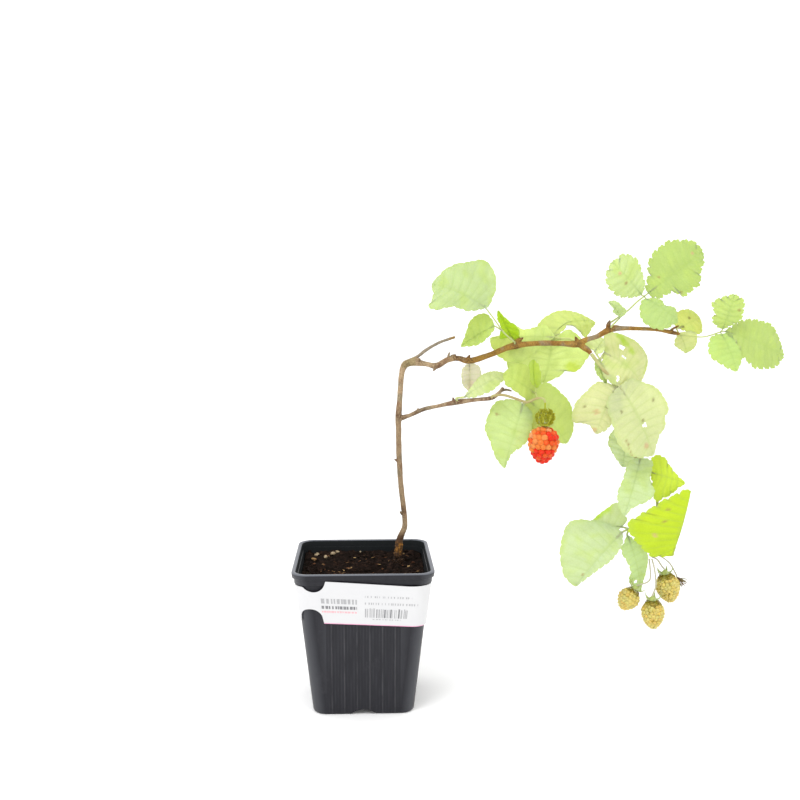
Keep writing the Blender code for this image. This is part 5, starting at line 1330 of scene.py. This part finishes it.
shaggy = Growth()
middle = calyx_cup(shaggy, RIPE, 3.8, SEPAL_OLIVE)
x, y, z = BERRY_LATERAL[-1][:3]
shaggy.stem([(x, y, z - 0.1, 0.6), (x, y, z - 4, 0.55), (*(middle - RIPE.axis * 2), 0.7)], 10, SEPAL_OLIVE)
sepal_ring(shaggy, RIPE, 6, middle, 2.2, [(0, 0.2), (2.0, 1.4), (2.8, 4.0), (1.8, 6.6), (0.6, 8.0)],
           1.5, SEPAL_OLIVE)
ball_middle, ball_half = Vector((117.5, -14, 188.4)), Vector((6.3, 6.3, 5.8))
for _ in range(420):
    turn, rise = dice.uniform(0, 2 * math.pi), dice.uniform(-0.75, 1)
    flat = math.sqrt(1 - rise * rise)
    way = Vector((math.cos(turn) * flat, math.sin(turn) * flat, rise))
    end = ball_middle + way * ball_half * dice.uniform(0.66, 1.05)
    start = middle + Vector((way.x, way.y, 0)) * 3.2 + Vector((0, 0, dice.uniform(0, 2.5)))
    bow = Vector((way.x, way.y, 0.2)) * dice.uniform(0.4, 1.6)
    stamen(shaggy, start, end, bow, mix(STAMEN_OLIVE, STAMEN_YELLOW, dice.random() ** 1.3), 0.24)
ride_calyx(shaggy, "ripe_calyx", "calyx_ripe")

PEDICELS = {"left": [(191.4, -1, 91.2), (192, -3, 80), (190, -3.4, 76)],
            "low": [(193, -1.6, 91.4), (194.6, -3.5, 84), (195, -5.4, 74)],
            "right": [(194, 0.6, 92), (198, 2.4, 89.6), (201.4, 3.6, 85)]}
for side_name, berry in UNRIPE.items():
    growth = Growth()
    middle = calyx_cup(growth, berry, 2.6, SEPAL_GREEN)
    route = [(*point, 0.5) for point in PEDICELS[side_name]]
    route += [(*(middle - berry.axis * 3.0), 0.5), (*(middle - berry.axis * 1.6), 0.75)]
    growth.stem(route, 10, PEDICEL_PALE, steps=6, gnarl=0.1)
    hairs(growth, route, 2.5, 0.8, 0.04, seen(226, 222, 190))
    sepal_ring(growth, berry, 5, middle, 1.2, [(0, 0), (2.4, 0.3), (3.9, 2.0), (4.4, 4.4)], 1.25, SEPAL_GREEN)
    for n in range(52):
        turn = 2 * math.pi * (n + dice.uniform(-0.3, 0.3)) / 52
        shoulder, out = berry.place(dice.uniform(0.4, 0.72), turn, -0.3)
        start = middle + berry.radial(turn) * 2.2 + berry.axis * 0.3
        tint = mix(STAMEN_OLIVE, STAMEN_BROWN, dice.random())
        stamen(growth, start, shoulder, out * dice.uniform(0.4, 0.9), tint, 0.13)
    ride_calyx(growth, "unripe_calyx_" + side_name, "calyx_unripe_" + side_name)


# Beside the right berry one flower has set no fruit: a thin curved pedicel ends in shrivelled brown sepals
# and a tuft of dried stamens.

FLOWER = Berry((216, 6.4, 73.4), (219.5, 5.4, 70), 3.0)
growth = Growth()
middle = calyx_cup(growth, FLOWER, 1.2, DRIED)
route = [(194.6, 3.4, 91), (201, 9, 90.5), (209, 11.4, 85), (213, 9.4, 78), tuple(middle - FLOWER.axis * 2.5)]
growth.stem([(*point, 0.45) for point in route], 8, PEDICEL_PALE, steps=6, gnarl=0.1)
sepal_ring(growth, FLOWER, 5, middle, 0.8, [(0, 0), (1.4, -0.8), (2.4, -2.4), (2.9, -4.0)], 0.9, DRIED)
for n in range(26):
    turn = dice.uniform(0, 2 * math.pi)
    end = middle + FLOWER.radial(turn) * dice.uniform(0.6, 2.4) + FLOWER.axis * dice.uniform(2.4, 4.6)
    tint = mix(DRIED, STAMEN_BROWN, dice.random())
    stamen(growth, middle + FLOWER.axis * 0.3, end, FLOWER.radial(turn) * 0.5, tint)
ride_calyx(growth, "dried_flower_remnant", "dried_flower")
